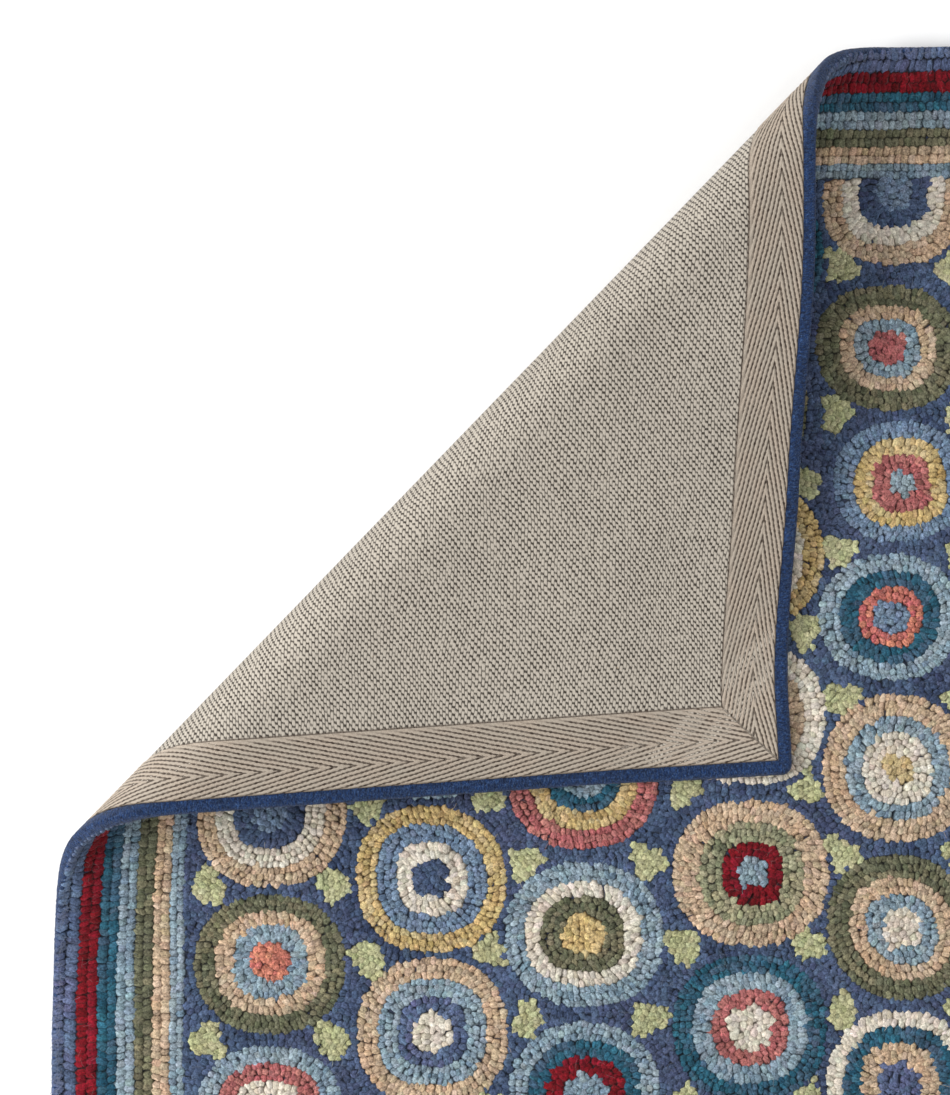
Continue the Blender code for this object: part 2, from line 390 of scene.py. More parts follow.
def laid(points):
    """Where points of the flat rug, rows of x, y and height, come to lie."""
    points = np.asarray(points, dtype=float)
    x, z = points[:, 0], points[:, 2]
    y = bowed(x, points[:, 1])
    flat = np.stack((x, y), axis=1) - FOLD_START
    across, along = flat @ ACROSS, flat @ ALONG
    turned = smooth((across - LIFT_LENGTH) / ROLL_LENGTH)
    tipwards = np.clip((across - LIFT_LENGTH) / (FOLD_DISTANCE - LIFT_LENGTH), 0.0, 1.0)
    begin, end = RIPPLE_ENDS
    rise = smooth((across - CREST) / RIPPLE_RISE) * (1.0 - smooth((across - begin) / (end - begin)))
    ripple = RIPPLE_HEIGHT * rise * np.sin(2 * pi * (along + RIPPLE_SLANT * across) / RIPPLE_LENGTH)
    along = along * (1.0 + STRETCH_ALONG * turned) + TIP_SHIFT * tipwards
    shrunk = np.where(across > CREST, CREST + (across - CREST) * (1.0 - SHRINK_ACROSS), across)
    slope = np.interp(shrunk, PATH, PATH_SLOPE)
    out = np.interp(shrunk, PATH, PATH_ACROSS) - z * np.sin(slope)
    up = np.interp(shrunk, PATH, PATH_HEIGHT) + z * np.cos(slope) + ripple
    place = FOLD_START + along[:, None] * ALONG + out[:, None] * ACROSS
    flat_part = across <= 0.0
    place[flat_part] = np.stack((x, y), axis=1)[flat_part]
    up[flat_part] = z[flat_part]
    return np.column_stack((place, up))


# %% [markdown]
# ## Making a mesh from arrays
# `from_pydata` is fine for a few hundred faces. For nearly a million the arrays are handed over whole.
# What a material needs to know about a point, such as its yarn's colour, is stored on the mesh by name.
# A flat map of each piece, called OFBake, is kept so that its colours can be painted onto one picture.

# %% Arrays to an object
TRIANGLES = {}
STORED_KINDS = {
    # numbers for each point: (what Blender calls it, where it keeps them)
    1: ("FLOAT", "value"),
    3: ("FLOAT_VECTOR", "vector"),
    4: ("FLOAT_COLOR", "color"),
}


def make_piece(name, points, corners, material, stored=None, bake=None, sharp=None, normals=None):
    """An object from an array of places and an array of faces, all with as many corners."""
    mesh = bpy.data.meshes.new(name)
    mesh.vertices.add(len(points))
    mesh.vertices.foreach_set("co", np.asarray(points, dtype=np.float32).ravel())
    mesh.loops.add(corners.size)
    mesh.loops.foreach_set("vertex_index", corners.astype(np.int32).ravel())
    mesh.polygons.add(len(corners))
    mesh.polygons.foreach_set("loop_start", np.arange(0, corners.size, corners.shape[1], dtype=np.int32))
    mesh.update(calc_edges=True)
    for key, values in (stored or {}).items():
        kind, field = STORED_KINDS[np.size(values) // len(points)]
        layer = mesh.attributes.new(key, kind, "POINT")
        layer.data.foreach_set(field, np.asarray(values, dtype=np.float32).ravel())
    if bake is not None:
        flat_map = mesh.uv_layers.new(name="OFBake")
        chosen = bake if len(bake) == corners.size else bake[corners.ravel()]
        flat_map.data.foreach_set("uv", np.asarray(chosen, dtype=np.float32).ravel())
    mesh.shade_smooth()
    if sharp is not None:
        mesh.set_sharp_from_angle(angle=sharp)
    if normals is not None:
        mesh.normals_split_custom_set_from_vertices(normals)
    mesh.materials.append(material)
    piece = bpy.data.objects.new(name, mesh)
    scene.collection.objects.link(piece)
    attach(piece, "root")
    TRIANGLES[name] = len(corners) * (corners.shape[1] - 2)
    print(name, "has", TRIANGLES[name], "triangles")
    return piece


# %% [markdown]
# ## The yarns
# Hooked rugs are made from what dyed wool there is, so one ring is never all one colour. Each yarn here has
# a light and a deep shade, between which its loops wander, and a second hue that it slowly drifts towards.

# %% Yarn colours
YARNS = {
    # name: (light shade, deep shade, second hue, how far it drifts)
    "periwinkle": ((0.108, 0.156, 0.252), (0.050, 0.073, 0.135), (0.094, 0.100, 0.192), 0.6),
    "red": ((0.205, 0.006, 0.013), (0.088, 0.003, 0.005), (0.160, 0.006, 0.018), 0.5),
    "teal": ((0.026, 0.114, 0.168), (0.010, 0.050, 0.082), (0.060, 0.096, 0.148), 0.7),
    "light blue": ((0.266, 0.348, 0.395), (0.116, 0.176, 0.234), (0.238, 0.282, 0.308), 0.6),
    "olive": ((0.150, 0.150, 0.094), (0.067, 0.072, 0.043), (0.205, 0.177, 0.110), 0.5),
    "tan": ((0.500, 0.388, 0.282), (0.330, 0.242, 0.160), (0.475, 0.315, 0.200), 0.5),
    "cream": ((0.625, 0.585, 0.505), (0.455, 0.410, 0.340), (0.510, 0.435, 0.345), 0.5),
    "navy": ((0.072, 0.109, 0.184), (0.027, 0.041, 0.086), (0.062, 0.074, 0.136), 0.5),
    "middle blue": ((0.175, 0.250, 0.345), (0.085, 0.130, 0.205), (0.165, 0.205, 0.270), 0.5),
    "slate": ((0.150, 0.205, 0.265), (0.080, 0.112, 0.155), (0.170, 0.175, 0.200), 0.5),
    "gold": ((0.540, 0.400, 0.185), (0.335, 0.232, 0.094), (0.470, 0.390, 0.240), 0.5),
    "coral": ((0.540, 0.222, 0.140), (0.310, 0.092, 0.075), (0.425, 0.108, 0.115), 0.8),
    "rose": ((0.410, 0.165, 0.145), (0.240, 0.076, 0.074), (0.350, 0.100, 0.105), 0.7),
    "green": ((0.425, 0.425, 0.250), (0.275, 0.280, 0.145), (0.400, 0.370, 0.235), 0.5),
    "sage": ((0.290, 0.285, 0.183), (0.130, 0.138, 0.084), (0.385, 0.335, 0.212), 0.5),
}
SHADE_WANDER = 0.26           # how far the shade drifts along a row
SHADE_SPECKLE = 0.19          # and from one loop to the next
HUE_LENGTH = 1.7              # the second hue comes and goes more slowly than the shade
HUE_SWING = 1.6
HUE_THRESHOLD = 0.5
HUE_SPECKLE = 0.3
LOOP_SPREAD = 0.08            # how unevenly light the loops are
TINT_SPREAD = 0.022           # and how uneven in hue
SHORT_WAVE = 0.37             # no simple share of the long wave, so that the two never fall in step


def wander(along, length):
    """A slow wave from 0 to 1 with no even beat, for the drift of a shade along a row."""
    first, second = chance.random(2) * 2 * pi
    wave = np.sin(2 * pi * along / length + first) + np.sin(2 * pi * along / (SHORT_WAVE * length) + second)
    return 0.5 + 0.25 * wave


def dyed(yarn, along, length):
    """The colour of each loop of a yarn, for loops that stand this far along their row."""
    light, deep, second, reach = YARNS[yarn]
    count = len(along)
    drift, zone = wander(along, length), wander(along, HUE_LENGTH * length)
    shade = 0.5 + SHADE_WANDER * (2.0 * drift - 1.0) + SHADE_SPECKLE * chance.standard_normal(count)
    shade = np.clip(shade, 0.0, 1.0)[:, None]
    colour = np.array(deep) * (1.0 - shade) + np.array(light) * shade
    share = HUE_SWING * zone - HUE_THRESHOLD + HUE_SPECKLE * chance.standard_normal(count)
    share = np.clip(reach * share, 0.0, 1.0)[:, None]
    colour = colour * (1.0 - share) + np.array(second) * share
    tint = 1.0 + TINT_SPREAD * chance.standard_normal((count, 3))
    return colour * tint * (1.0 + LOOP_SPREAD * chance.standard_normal((count, 1)))


# %% [markdown]
# ## Where the loops stand
# A hooker works in rows, so a loop's place comes from its row, and its long side lies square to the row.
# Each group of loops is a table with a column for everything a loop has. `Loops` collects such groups.

# %% Collect loops
class Loops:
    """A growing set of loops: place, direction of the long side, half length, half width and colour."""

    def __init__(self):
        self.groups = []

    def add(self, places, directions, half_length, half_width, colours):
        count = len(places)
        if count:
            sizes = np.empty((count, 2))
            sizes[:, 0] = half_length
            sizes[:, 1] = half_width
            self.groups.append(np.column_stack((places, directions, sizes, colours)))

    def table(self):
        return np.concatenate(self.groups)


# %% [markdown]
# ## The striped border
# Seven stripes run round the rug, two rows of loops each, a little wider at the rug's ends than along its
# sides. A row is a plain rectangle, and loops are set along it at an even pitch that divides its length.

# %% Border rows
STRIPES = (
    # (yarn, width, rows)
    ("periwinkle", 0.0121, 2),
    ("red", 0.0107, 2),
    ("teal", 0.0096, 2),
    ("light blue", 0.0090, 2),
    ("olive", 0.0092, 2),
    ("tan", 0.0087, 2),
    ("light blue", 0.0072, 2),
)
END_WIDER = 1.055            # the stripes at the two ends of the rug are wider by this
BORDER_PITCH = 0.0036
BORDER_JITTER = 0.07         # of the pitch, along the row
ROW_WAVER = 0.00030          # a row strays this far from straight
ROW_SLANT = (radians(6), radians(18))      # the hand leans a whole row of loops one way
RIM_SPLAY = 0.0002           # the outermost loops spread outwards over the whipped edge
CORNER_TURN = 0.0030         # loops this near a corner stand diagonally
DRIFT_LENGTH = 0.140
BORDER_GROWTH = np.array((1.0, END_WIDER))

# The rug is walked round from its far right corner: along the far end, then left, near end, right.
CORNERS = np.array(((1, 1), (-1, 1), (-1, -1), (1, -1)))
WAYS = np.array(((-1, 0), (0, -1), (1, 0), (0, 1)))
OUTWARDS = np.array(((0, 1), (-1, 0), (0, -1), (1, 0)))


# %% Directions
def turning(angle):
    """The matrix that turns rows of x, y by an angle."""
    return np.array(((cos(angle), sin(angle)), (-sin(angle), cos(angle))))


def compass(angles):
    """A direction for each angle."""
    return np.stack((np.cos(angles), np.sin(angles)), axis=1)


def unit(vectors):
    """The same directions, each one unit long."""
    return vectors / np.linalg.norm(vectors, axis=-1, keepdims=True)


# %% One row of the border, and all of them
def border_row(inset, count, shift):
    """Places and outward directions along a rectangle this far in from the rim, and the way along it."""
    half = HALF_RUG - inset * BORDER_GROWTH
    perimeter = 4 * half.sum()
    pitch = perimeter / count
    along = (np.arange(count) + shift + BORDER_JITTER * chance.standard_normal(count)) * pitch % perimeter
    lengths = np.tile(2 * half, 2)
    starts = np.concatenate(((0.0,), np.cumsum(lengths)[:-1]))
    side = np.searchsorted(starts, along, side="right") - 1
    run = along - starts[side]
    stray = ROW_WAVER * (2.0 * wander(along, DRIFT_LENGTH / 2) - 1.0)
    places = (CORNERS * half)[side] + WAYS[side] * run[:, None] + OUTWARDS[side] * stray[:, None]
    directions = OUTWARDS[side].astype(float)
    late = lengths[side] - run < CORNER_TURN
    directions[late] += OUTWARDS[(side[late] + 1) % 4]
    early = run < CORNER_TURN
    directions[early] += OUTWARDS[(side[early] - 1) % 4]
    slant = chance.choice((-1, 1)) * chance.uniform(*ROW_SLANT)
    return places, unit(directions) @ turning(slant), along


border = Loops()
rim_loops = Loops()
inset = 0.0
for yarn, width, rows in STRIPES:
    row_width = width / rows
    count = round(2 * (RUG_WIDTH + RUG_LENGTH - 4 * (inset + width / 2)) / BORDER_PITCH)
    for row in range(rows):
        outermost = inset == 0.0
        shift_out = RIM_SPLAY if outermost else 0.0
        places, directions, along = border_row(inset + row_width / 2 - shift_out, count, row / rows)
        colours = dyed(yarn, along, DRIFT_LENGTH)
        group = rim_loops if outermost else border
        group.add(places, directions, row_width / 2, BORDER_PITCH / 2, colours)
        inset += row_width
FIELD_INSET = inset
FIELD_HALF = HALF_RUG - FIELD_INSET * BORDER_GROWTH
border_loops = border.table()
print(len(border_loops), "border loops; the field starts", round(FIELD_INSET * 1000, 1), "mm in")

# %% [markdown]
# ## The circles
# The field is the old circle pattern that hookers drew round a cup or a saucer: columns of ringed circles,
# with a patch of green wherever three circles leave room. The chart below was made by looking at the rug:
# it names each circle's distance from the top rim, half its height and its yarns from the outside in.
# The field is the old circle pattern that hookers drew round a cup or a saucer: columns of ringed circles,
# with a patch of green wherever three circles leave room. The chart below names each circle's distance
# from the top rim, half its height and its yarns from the outside in.

# %% The chart
COLUMNS = (
    # (distance from the left rim, (the circles: distance from the top rim, half height, yarns))
    (0.110, ((0.083, 0.037, "tan/cream/slate/gold"),
             (0.161, 0.037, "light blue/red/cream/teal"),
             (0.239, 0.037, "olive/cream/rose/light blue"),
             (0.317, 0.037, "gold/teal/cream/red"),
             (0.395, 0.038, "tan/cream/navy/middle blue"),
             (0.472, 0.0345, "olive/tan/light blue/coral"),
             (0.550, 0.037, "light blue/rose/cream/navy"),
             (0.628, 0.037, "cream/teal/gold/rose"),
             (0.706, 0.037, "tan/red/light blue/cream"),
             (0.784, 0.037, "teal/light blue/olive/tan"),
             (0.862, 0.037, "light blue/cream/coral/gold"))),
    (0.191, ((0.118, 0.037, "light blue/gold/coral/cream"),
             (0.196, 0.037, "tan/olive/cream/navy"),
             (0.274, 0.037, "teal/cream/light blue/rose"),
             (0.352, 0.036, "light blue/coral/cream/olive"),
             (0.429, 0.037, "gold/middle blue/cream/navy"),
             (0.506, 0.037, "tan/light blue/periwinkle/cream"),
             (0.587, 0.037, "olive/cream/red/light blue"),
             (0.665, 0.037, "rose/gold/teal/light blue"),
             (0.743, 0.037, "light blue/cream/olive/gold"),
             (0.821, 0.037, "tan/navy/gold/rose"))),
    (0.268, ((0.066, 0.037, "olive/tan/light blue/red"),
             (0.144, 0.037, "cream/tan/teal/gold"),
             (0.222, 0.037, "light blue/navy/rose/cream"),
             (0.300, 0.037, "tan/light blue/red/cream"),
             (0.377, 0.037, "rose/gold/teal/light blue"),
             (0.457, 0.037, "light blue/cream/olive/gold"),
             (0.538, 0.037, "light blue/teal/red/light blue"),
             (0.616, 0.037, "tan/olive/light blue/coral"),
             (0.694, 0.037, "gold/light blue/navy/cream"),
             (0.772, 0.037, "cream/slate/tan/rose"),
             (0.850, 0.037, "olive/light blue/red/tan"))),
    (0.352, ((0.110, 0.037, "teal/light blue/cream/coral"),
             (0.188, 0.037, "olive/gold/light blue/navy"),
             (0.266, 0.037, "gold/cream/slate/light blue"),
             (0.345, 0.037, "cream/tan/navy/light blue"),
             (0.426, 0.0365, "tan/sage/red/light blue"),
             (0.504, 0.037, "teal/light blue/rose/cream"),
             (0.582, 0.037, "light blue/tan/cream/olive"),
             (0.660, 0.037, "cream/rose/teal/gold"),
             (0.738, 0.037, "tan/light blue/navy/cream"),
             (0.816, 0.037, "teal/gold/cream/red"))),
    (0.428, ((0.078, 0.038, "tan/cream/navy/middle blue"),
             (0.1585, 0.0325, "olive/tan/light blue/rose"),
             (0.227, 0.0300, "middle blue/gold/rose/light blue"),
             (0.296, 0.0320, "light blue/teal/coral/middle blue"),
             (0.373, 0.0370, "tan/light blue/cream/gold"),
             (0.453, 0.0368, "olive/tan/light blue/cream"),
             (0.532, 0.037, "cream/teal/tan/periwinkle"),
             (0.610, 0.037, "light blue/red/cream/navy"),
             (0.688, 0.037, "gold/cream/middle blue/coral"),
             (0.766, 0.037, "tan/olive/light blue/cream"),
             (0.844, 0.037, "light blue/navy/gold/rose"))),
    (0.508, ((0.113, 0.037, "light blue/cream/red/gold"),
             (0.191, 0.037, "tan/slate/light blue/cream"),
             (0.269, 0.037, "cream/olive/rose/light blue"),
             (0.347, 0.037, "olive/light blue/tan/navy"),
             (0.425, 0.037, "light blue/tan/teal/coral"),
             (0.503, 0.037, "gold/cream/light blue/red"),
             (0.581, 0.037, "teal/cream/olive/tan"),
             (0.659, 0.037, "tan/rose/cream/light blue"),
             (0.737, 0.037, "light blue/navy/gold/cream"),
             (0.815, 0.037, "olive/tan/teal/cream"))),
)

# %% The sizes of the circles
HALF_WIDTH = 0.0385
WIDTH_JITTER = 0.012
RING_SHARES = (0.27, 0.25, 0.21)      # of half the circle; the centre is what is left
OWN_SHAPES = {
    # (column, circle): (how far it stands off its column, half width, ring shares, its middle's stray)
    (0, 5): (0.0000, 0.0387, (0.27, 0.23, 0.24), (0.0000, 0.0035)),
    (1, 5): (0.0010, 0.0385, (0.29, 0.26, 0.19), (0.0000, 0.0000)),
    (2, 5): (0.0005, 0.0400, (0.28, 0.21, 0.24), (-0.0015, 0.0000)),
    (3, 1): (-0.0070, 0.0380, RING_SHARES, (0.0000, 0.0000)),
    (3, 4): (0.0008, 0.0400, (0.33, 0.27, 0.20), (0.0020, -0.0005)),
    (4, 1): (-0.0040, 0.0370, (0.33, 0.22, 0.19), (0.0000, 0.0000)),
    (4, 2): (0.0015, 0.0345, (0.29, 0.26, 0.25), (0.0026, -0.0020)),
    (4, 3): (-0.0040, 0.0360, (0.29, 0.26, 0.20), (0.0015, 0.0000)),
    (4, 4): (-0.0005, 0.0380, (0.32, 0.22, 0.26), (0.0000, -0.0010)),
    (4, 5): (0.0005, 0.0370, (0.31, 0.22, 0.20), (0.0008, -0.0020)),
}
SHARE_JITTER = 0.015
OUTER_FULLNESS = 2.2                  # 2 is an ellipse; more is squarer
INNER_FULLNESS = 2.9
CENTRE_STRAY = 0.0022                 # how far the innermost rings stray from the middle
INNER_TALLER = 0.94                   # the power that keeps the inner rings a little tall
OUTLINE_ANGLES = np.linspace(0, 2 * pi, 361)
LOOK_AHEAD = 0.001                    # a row's direction is taken from the point this far ahead
ROW_PITCH = 0.0038
LOOP_PITCH = 0.0029
RING_JITTER = 0.10                    # of the pitch, along the row
PLACE_JITTER = 0.00036
WOBBLE = 0.010                        # of the circle's size
WOBBLE_LOBES = (2, 3, 4, 5)
INNER_WOBBLE = 4.0                    # how much more the middle wobbles
RING_SLANT = (radians(8), radians(28))     # the hooker's hand leans all loops of a circle one way


# %% A circle and its rows
class Circle:
    """One ringed circle: where it is, its size, its wobble and its yarns."""

    def __init__(self, x, y, half_height, yarns):
        self.place = np.array((x, y))
        self.size = np.array((HALF_WIDTH * (1.0 + WIDTH_JITTER * chance.standard_normal()), half_height))
        self.yarns = yarns.split("/")
        self.waves = [(k, WOBBLE * chance.standard_normal() / (k - 1), chance.random() * 2 * pi)
                      for k in WOBBLE_LOBES]
        self.stray = CENTRE_STRAY * chance.uniform(-1, 1, 2)
        self.slant = chance.choice((-1, 1)) * chance.uniform(*RING_SLANT)
        shares = np.array(RING_SHARES) + SHARE_JITTER * chance.standard_normal(3)
        self.widths = shares * self.size[0]

    def reshape(self, shift, half_width, shares, stray):
        """Give a circle that stands out a width, rings and a middle of its own."""
        self.place[0] += shift
        self.size[0] = half_width
        self.widths = half_width * np.array(shares)
        self.stray = np.array(stray)

    def outline(self, angles, inwards):
        """Points on the circle's outline moved this far inwards, or outwards where it is negative."""
        share = 1.0 - inwards / self.size[0]
        depth = np.clip(1.0 - share, 0.0, 1.0)
        power = 2.0 / (OUTER_FULLNESS + (INNER_FULLNESS - OUTER_FULLNESS) * depth)
        c, s = np.cos(angles), np.sin(angles)
        shape = np.stack((np.sign(c) * np.abs(c) ** power, np.sign(s) * np.abs(s) ** power), axis=1)
        waves = sum(a * np.cos(k * angles + p) for k, a, p in self.waves)
        wobble = 1.0 + (1.0 + INNER_WOBBLE * depth) * waves
        tall = share ** INNER_TALLER if share < 1.0 else share
        middle = self.place + self.stray * depth
        return middle + shape * wobble[:, None] * self.size * np.array((share, tall))

    def row(self, inwards, pitch):
        """Evenly spaced places on one row, the direction square to it, and the way along it."""
        line = self.outline(OUTLINE_ANGLES, inwards)
        steps = np.linalg.norm(np.diff(line, axis=0), axis=1)
        along = np.concatenate(((0.0,), np.cumsum(steps)))
        count = max(3, round(along[-1] / pitch))
        spots = np.arange(count) + chance.random() + RING_JITTER * chance.standard_normal(count)
        spots = spots * along[-1] / count % along[-1]
        places, ahead = (np.stack([np.interp(at, along, line[:, k]) for k in (0, 1)], axis=1)
                         for at in (spots, (spots + LOOK_AHEAD) % along[-1]))
        way = ahead - places
        square = unit(np.stack((way[:, 1], -way[:, 0]), axis=1))
        return places, square @ turning(self.slant), spots

    def contains(self, places, inwards):
        """Which places lie inside the outline moved this far inwards."""
        share = 1.0 - inwards / self.size[0]
        offset = (places - self.place - self.stray * (1.0 - share)) / self.size
        return (np.abs(offset) ** INNER_FULLNESS).sum(axis=1) < share ** INNER_FULLNESS


# %% [markdown]
# A filled shape, such as the middle of a circle or a green patch, has no rows to follow. Its loops stand in
# a loose honeycomb that is turned at random, and every loop leans its own way.

# %% Places for a filled shape
HONEYCOMB_LEAN = 0.70        # radians


def honeycomb(reach, pitch, stray):
    """Places in a turned honeycomb round the origin, and a direction for each."""
    steps = int(reach / pitch) + 2
    columns, rows = np.meshgrid(np.arange(-steps, steps + 1), np.arange(-steps, steps + 1))
    x = (columns + 0.5 * (rows % 2)) * pitch
    y = rows * pitch * sin(pi / 3)
    spots = np.stack((x.ravel(), y.ravel()), axis=1)
    spots += stray * chance.uniform(-1, 1, spots.shape) + pitch * chance.uniform(-0.5, 0.5, 2)
    turn = chance.random() * pi
    spots = spots @ turning(turn)
    angles = turn + pi / 2 + HONEYCOMB_LEAN * chance.standard_normal(len(spots))
    return spots, compass(angles)


def from_rim(x, y):
    """Flat rug coordinates from distances to the left and top rim."""
    return x - RUG_WIDTH / 2, RUG_LENGTH / 2 - y


def inside_field(places, margin):
    """Which places are at least this far inside the border's last row."""
    return (np.abs(places) < FIELD_HALF - margin).all(axis=1)


# %% Make the circles
circles = []
for c, (x, charts) in enumerate(COLUMNS):
    for k, (y, half_height, yarns) in enumerate(charts):
        circle = Circle(*from_rim(x, y), half_height, yarns)
        if (c, k) in OWN_SHAPES:
            circle.reshape(*OWN_SHAPES[c, k])
        circle.column = c
        circles.append(circle)
print(len(circles), "circles")

# %% [markdown]
# ## Filling the ground
# The ground between the circles is filled as a hooker fills it: first the green patches, then a few rows
# round each circle, then whatever holes are left. A new loop only goes where it has room, and a coarse
# grid of pigeonholes finds the loops near a place quickly. At the end the loops push each other apart.

# %% Room for a loop
PIGEONHOLE = 0.0040          # a little wider than a loop


class Crowd:
    """Remembers where loops stand, in pigeonholes."""

    def __init__(self, cell=PIGEONHOLE):
        self.cell = cell
        self.holes = {}

    def near(self, x, y):
        i, j = int(x // self.cell), int(y // self.cell)
        for a in (i - 1, i, i + 1):
            for b in (j - 1, j, j + 1):
                yield from self.holes.get((a, b), ())

    def has_room(self, x, y, distance):
        limit = distance * distance
        return all((x - a) ** 2 + (y - b) ** 2 >= limit for a, b in self.near(x, y))

    def add(self, x, y):
        self.holes.setdefault((int(x // self.cell), int(y // self.cell)), []).append((x, y))


# %% Set the loops of the circles
crowd = Crowd()
circle_loops = [Loops() for _ in range(3)]
EDGE_MARGIN = 0.0014
RING_DRIFT = 0.075
CENTRE_PITCH = LOOP_PITCH * 1.08       # the middle of a circle is hooked a little less densely
CENTRE_MARGIN = 0.0010
CENTRE_JITTER = 0.0006
CENTRE_LOOP = (LOOP_PITCH * 0.62, LOOP_PITCH * 0.52)      # half its length, half its width


def add_ring_loops(circle, places, directions, loop, yarn, spots):
    """Add the loops of one row or one middle that lie in the field, with half their length and width."""
    kept = inside_field(places, EDGE_MARGIN)
    places, directions, spots = places[kept], directions[kept], spots[kept]
    if len(places):
        places = places + PLACE_JITTER * chance.standard_normal(places.shape)
        colours = dyed(yarn, spots, RING_DRIFT)
        circle_loops[circle.column // 2].add(places, directions, *loop, colours)
        for x, y in places:
            crowd.add(x, y)


for circle in circles:
    inwards = 0.0
    for width, yarn in zip(circle.widths, circle.yarns):
        rows = max(1, round(width / ROW_PITCH))
        row_width = width / rows
        for _ in range(rows):
            places, directions, spots = circle.row(inwards + row_width / 2, LOOP_PITCH)
            add_ring_loops(circle, places, directions, (row_width / 2, LOOP_PITCH / 2), yarn, spots)
            inwards += row_width
    spots, directions = honeycomb(circle.size.max() - inwards, CENTRE_PITCH, CENTRE_JITTER)
    spots = spots + circle.place + circle.stray * inwards / circle.size[0]
    inside = circle.contains(spots, inwards + CENTRE_MARGIN)
    spots, directions = spots[inside], directions[inside]
    add_ring_loops(circle, spots, directions, CENTRE_LOOP, circle.yarns[-1], spots[:, 0])
print(sum(len(g.table()) for g in circle_loops), "loops in the circles")

# %% The sizes of patches and ground
LEFT_NAVY = (
    # (distance from the left rim, from the top rim) of the gaps that have no patch
    (0.386, 0.151),
    (0.066, 0.470),
)
PATCH_RADIUS = 0.0084
PATCH_REACH = PATCH_RADIUS * 1.4           # past the outermost bulge of a patch
NAVY_REACH = 1.5 * PATCH_RADIUS            # a patch this near to such a gap is left out
PATCH_WAVES = ((3, 0.16), (2, 0.14))       # (lobes, height) of the two waves that make a patch uneven
PATCH_JITTER = 0.0004
PATCH_LEAN = 0.3             # how far a patch moves towards the circle that stands across from it
PATCH_CLEARANCE = 0.0029     # from the middle of a patch's loop to the middle of a circle's
GROUND_PITCH = 0.0031
GROUND_LOOP = (GROUND_PITCH * 0.60, GROUND_PITCH * 0.52)  # half its length, half its width
GROUND_ROWS = (
    # (rows out from the circle, room that a loop needs, in pitches)
    (0.5, 0.86),
    (1.5, 0.88),
    (2.5, 0.90),
)
GROUND_ROW_STEP = 0.9        # of the circle's row pitch
FILL_SPACINGS = (0.0016, 0.0011, 0.0008)   # holes are looked for on finer and finer grids
FILL_ROOM = 0.80
RING_EDGE = 0.4              # this much of a row inside a circle's outline still counts as ground


# %% Where the patches are
def patch_places():
    """The middle of each gap between three circles, also along the border."""
    columns = [(x, [y for y, _, _ in charts]) for x, charts in COLUMNS]
    step = columns[1][0] - columns[0][0]
    before = (columns[0][0] - step, columns[1][1])
    after = (columns[-1][0] + step, columns[-2][1])
    columns = [before, *columns, after]
    spots = []
    for c, (x, distances) in enumerate(columns):
        for side in (-1, 1):
            if not 0 <= c + side < len(columns):
                continue
            other_x, others = columns[c + side]
            across = abs(other_x - x)
            for y0, y1 in zip(distances, distances[1:]):
                middle, half = (y0 + y1) / 2, (y1 - y0) / 2
                lean = min(others, key=lambda y: abs(y - middle)) - middle
                reach = (across ** 2 + lean ** 2 - half ** 2) / (2 * across)
                spots.append(np.array(from_rim(x + side * reach, middle + PATCH_LEAN * lean)))
    return spots


# %% What belongs at a place
def belonging(places):
    """The yarn that belongs at each place, navy outside the circles, and a direction for its loop."""
    yarns = np.full(len(places), "navy", dtype=object)
    directions = compass(chance.random(len(places)) * pi)
    for circle in circles:
        near = np.flatnonzero((np.abs(places - circle.place) < circle.size).all(axis=1))
        offset = (places[near] - circle.place) / circle.size
        share = (np.abs(offset) ** OUTER_FULLNESS).sum(axis=1) ** (1.0 / OUTER_FULLNESS)
        inside = share < 1.0 - RING_EDGE * ROW_PITCH / circle.size[0]
        near, offset, share = near[inside], offset[inside], share[inside]
        ring = np.searchsorted(np.cumsum(circle.widths), (1.0 - share) * circle.size[0])
        yarns[near] = np.array(circle.yarns, dtype=object)[ring]
        directions[near] = offset / np.maximum(np.linalg.norm(offset, axis=1), 1e-6)[:, None]
    return yarns, directions


# %% Grow the patches and the ground
ground_places, ground_directions, ground_yarns = [], [], []


def grow_ground(places, directions, distance, yarns, among_itself=True):
    """Add the loops that are inside the field and have room, if need be also among themselves."""
    inside = np.flatnonzero(inside_field(places, EDGE_MARGIN))
    free = [k for k in inside if among_itself or crowd.has_room(*places[k], distance)]
    for k in free:
        x, y = places[k]
        if among_itself and not crowd.has_room(x, y, distance):
            continue
        crowd.add(x, y)
        ground_places.append((x, y))
        ground_directions.append(directions[k])
        ground_yarns.append(yarns[k])


bare = [np.array(from_rim(*spot)) for spot in LEFT_NAVY]
patches = [place for place in patch_places()
           if all(np.hypot(*(place - spot)) > NAVY_REACH for spot in bare)]
for middle in patches:
    spots, directions = honeycomb(PATCH_REACH, GROUND_PITCH, PATCH_JITTER)
    angle = np.arctan2(spots[:, 1], spots[:, 0])
    sways = chance.random(2) * 2 * pi
    waves = [height * np.cos(lobes * angle + sway) for (lobes, height), sway in zip(PATCH_WAVES, sways)]
    edge = PATCH_RADIUS * (1.0 + waves[0] + waves[1])
    inside = np.hypot(spots[:, 0], spots[:, 1]) < edge
    spots, directions = spots[inside] + middle, directions[inside]
    grow_ground(spots, directions, PATCH_CLEARANCE, ["green"] * len(spots), among_itself=False)
print(len(ground_places), "loops in", len(patches), "patches")

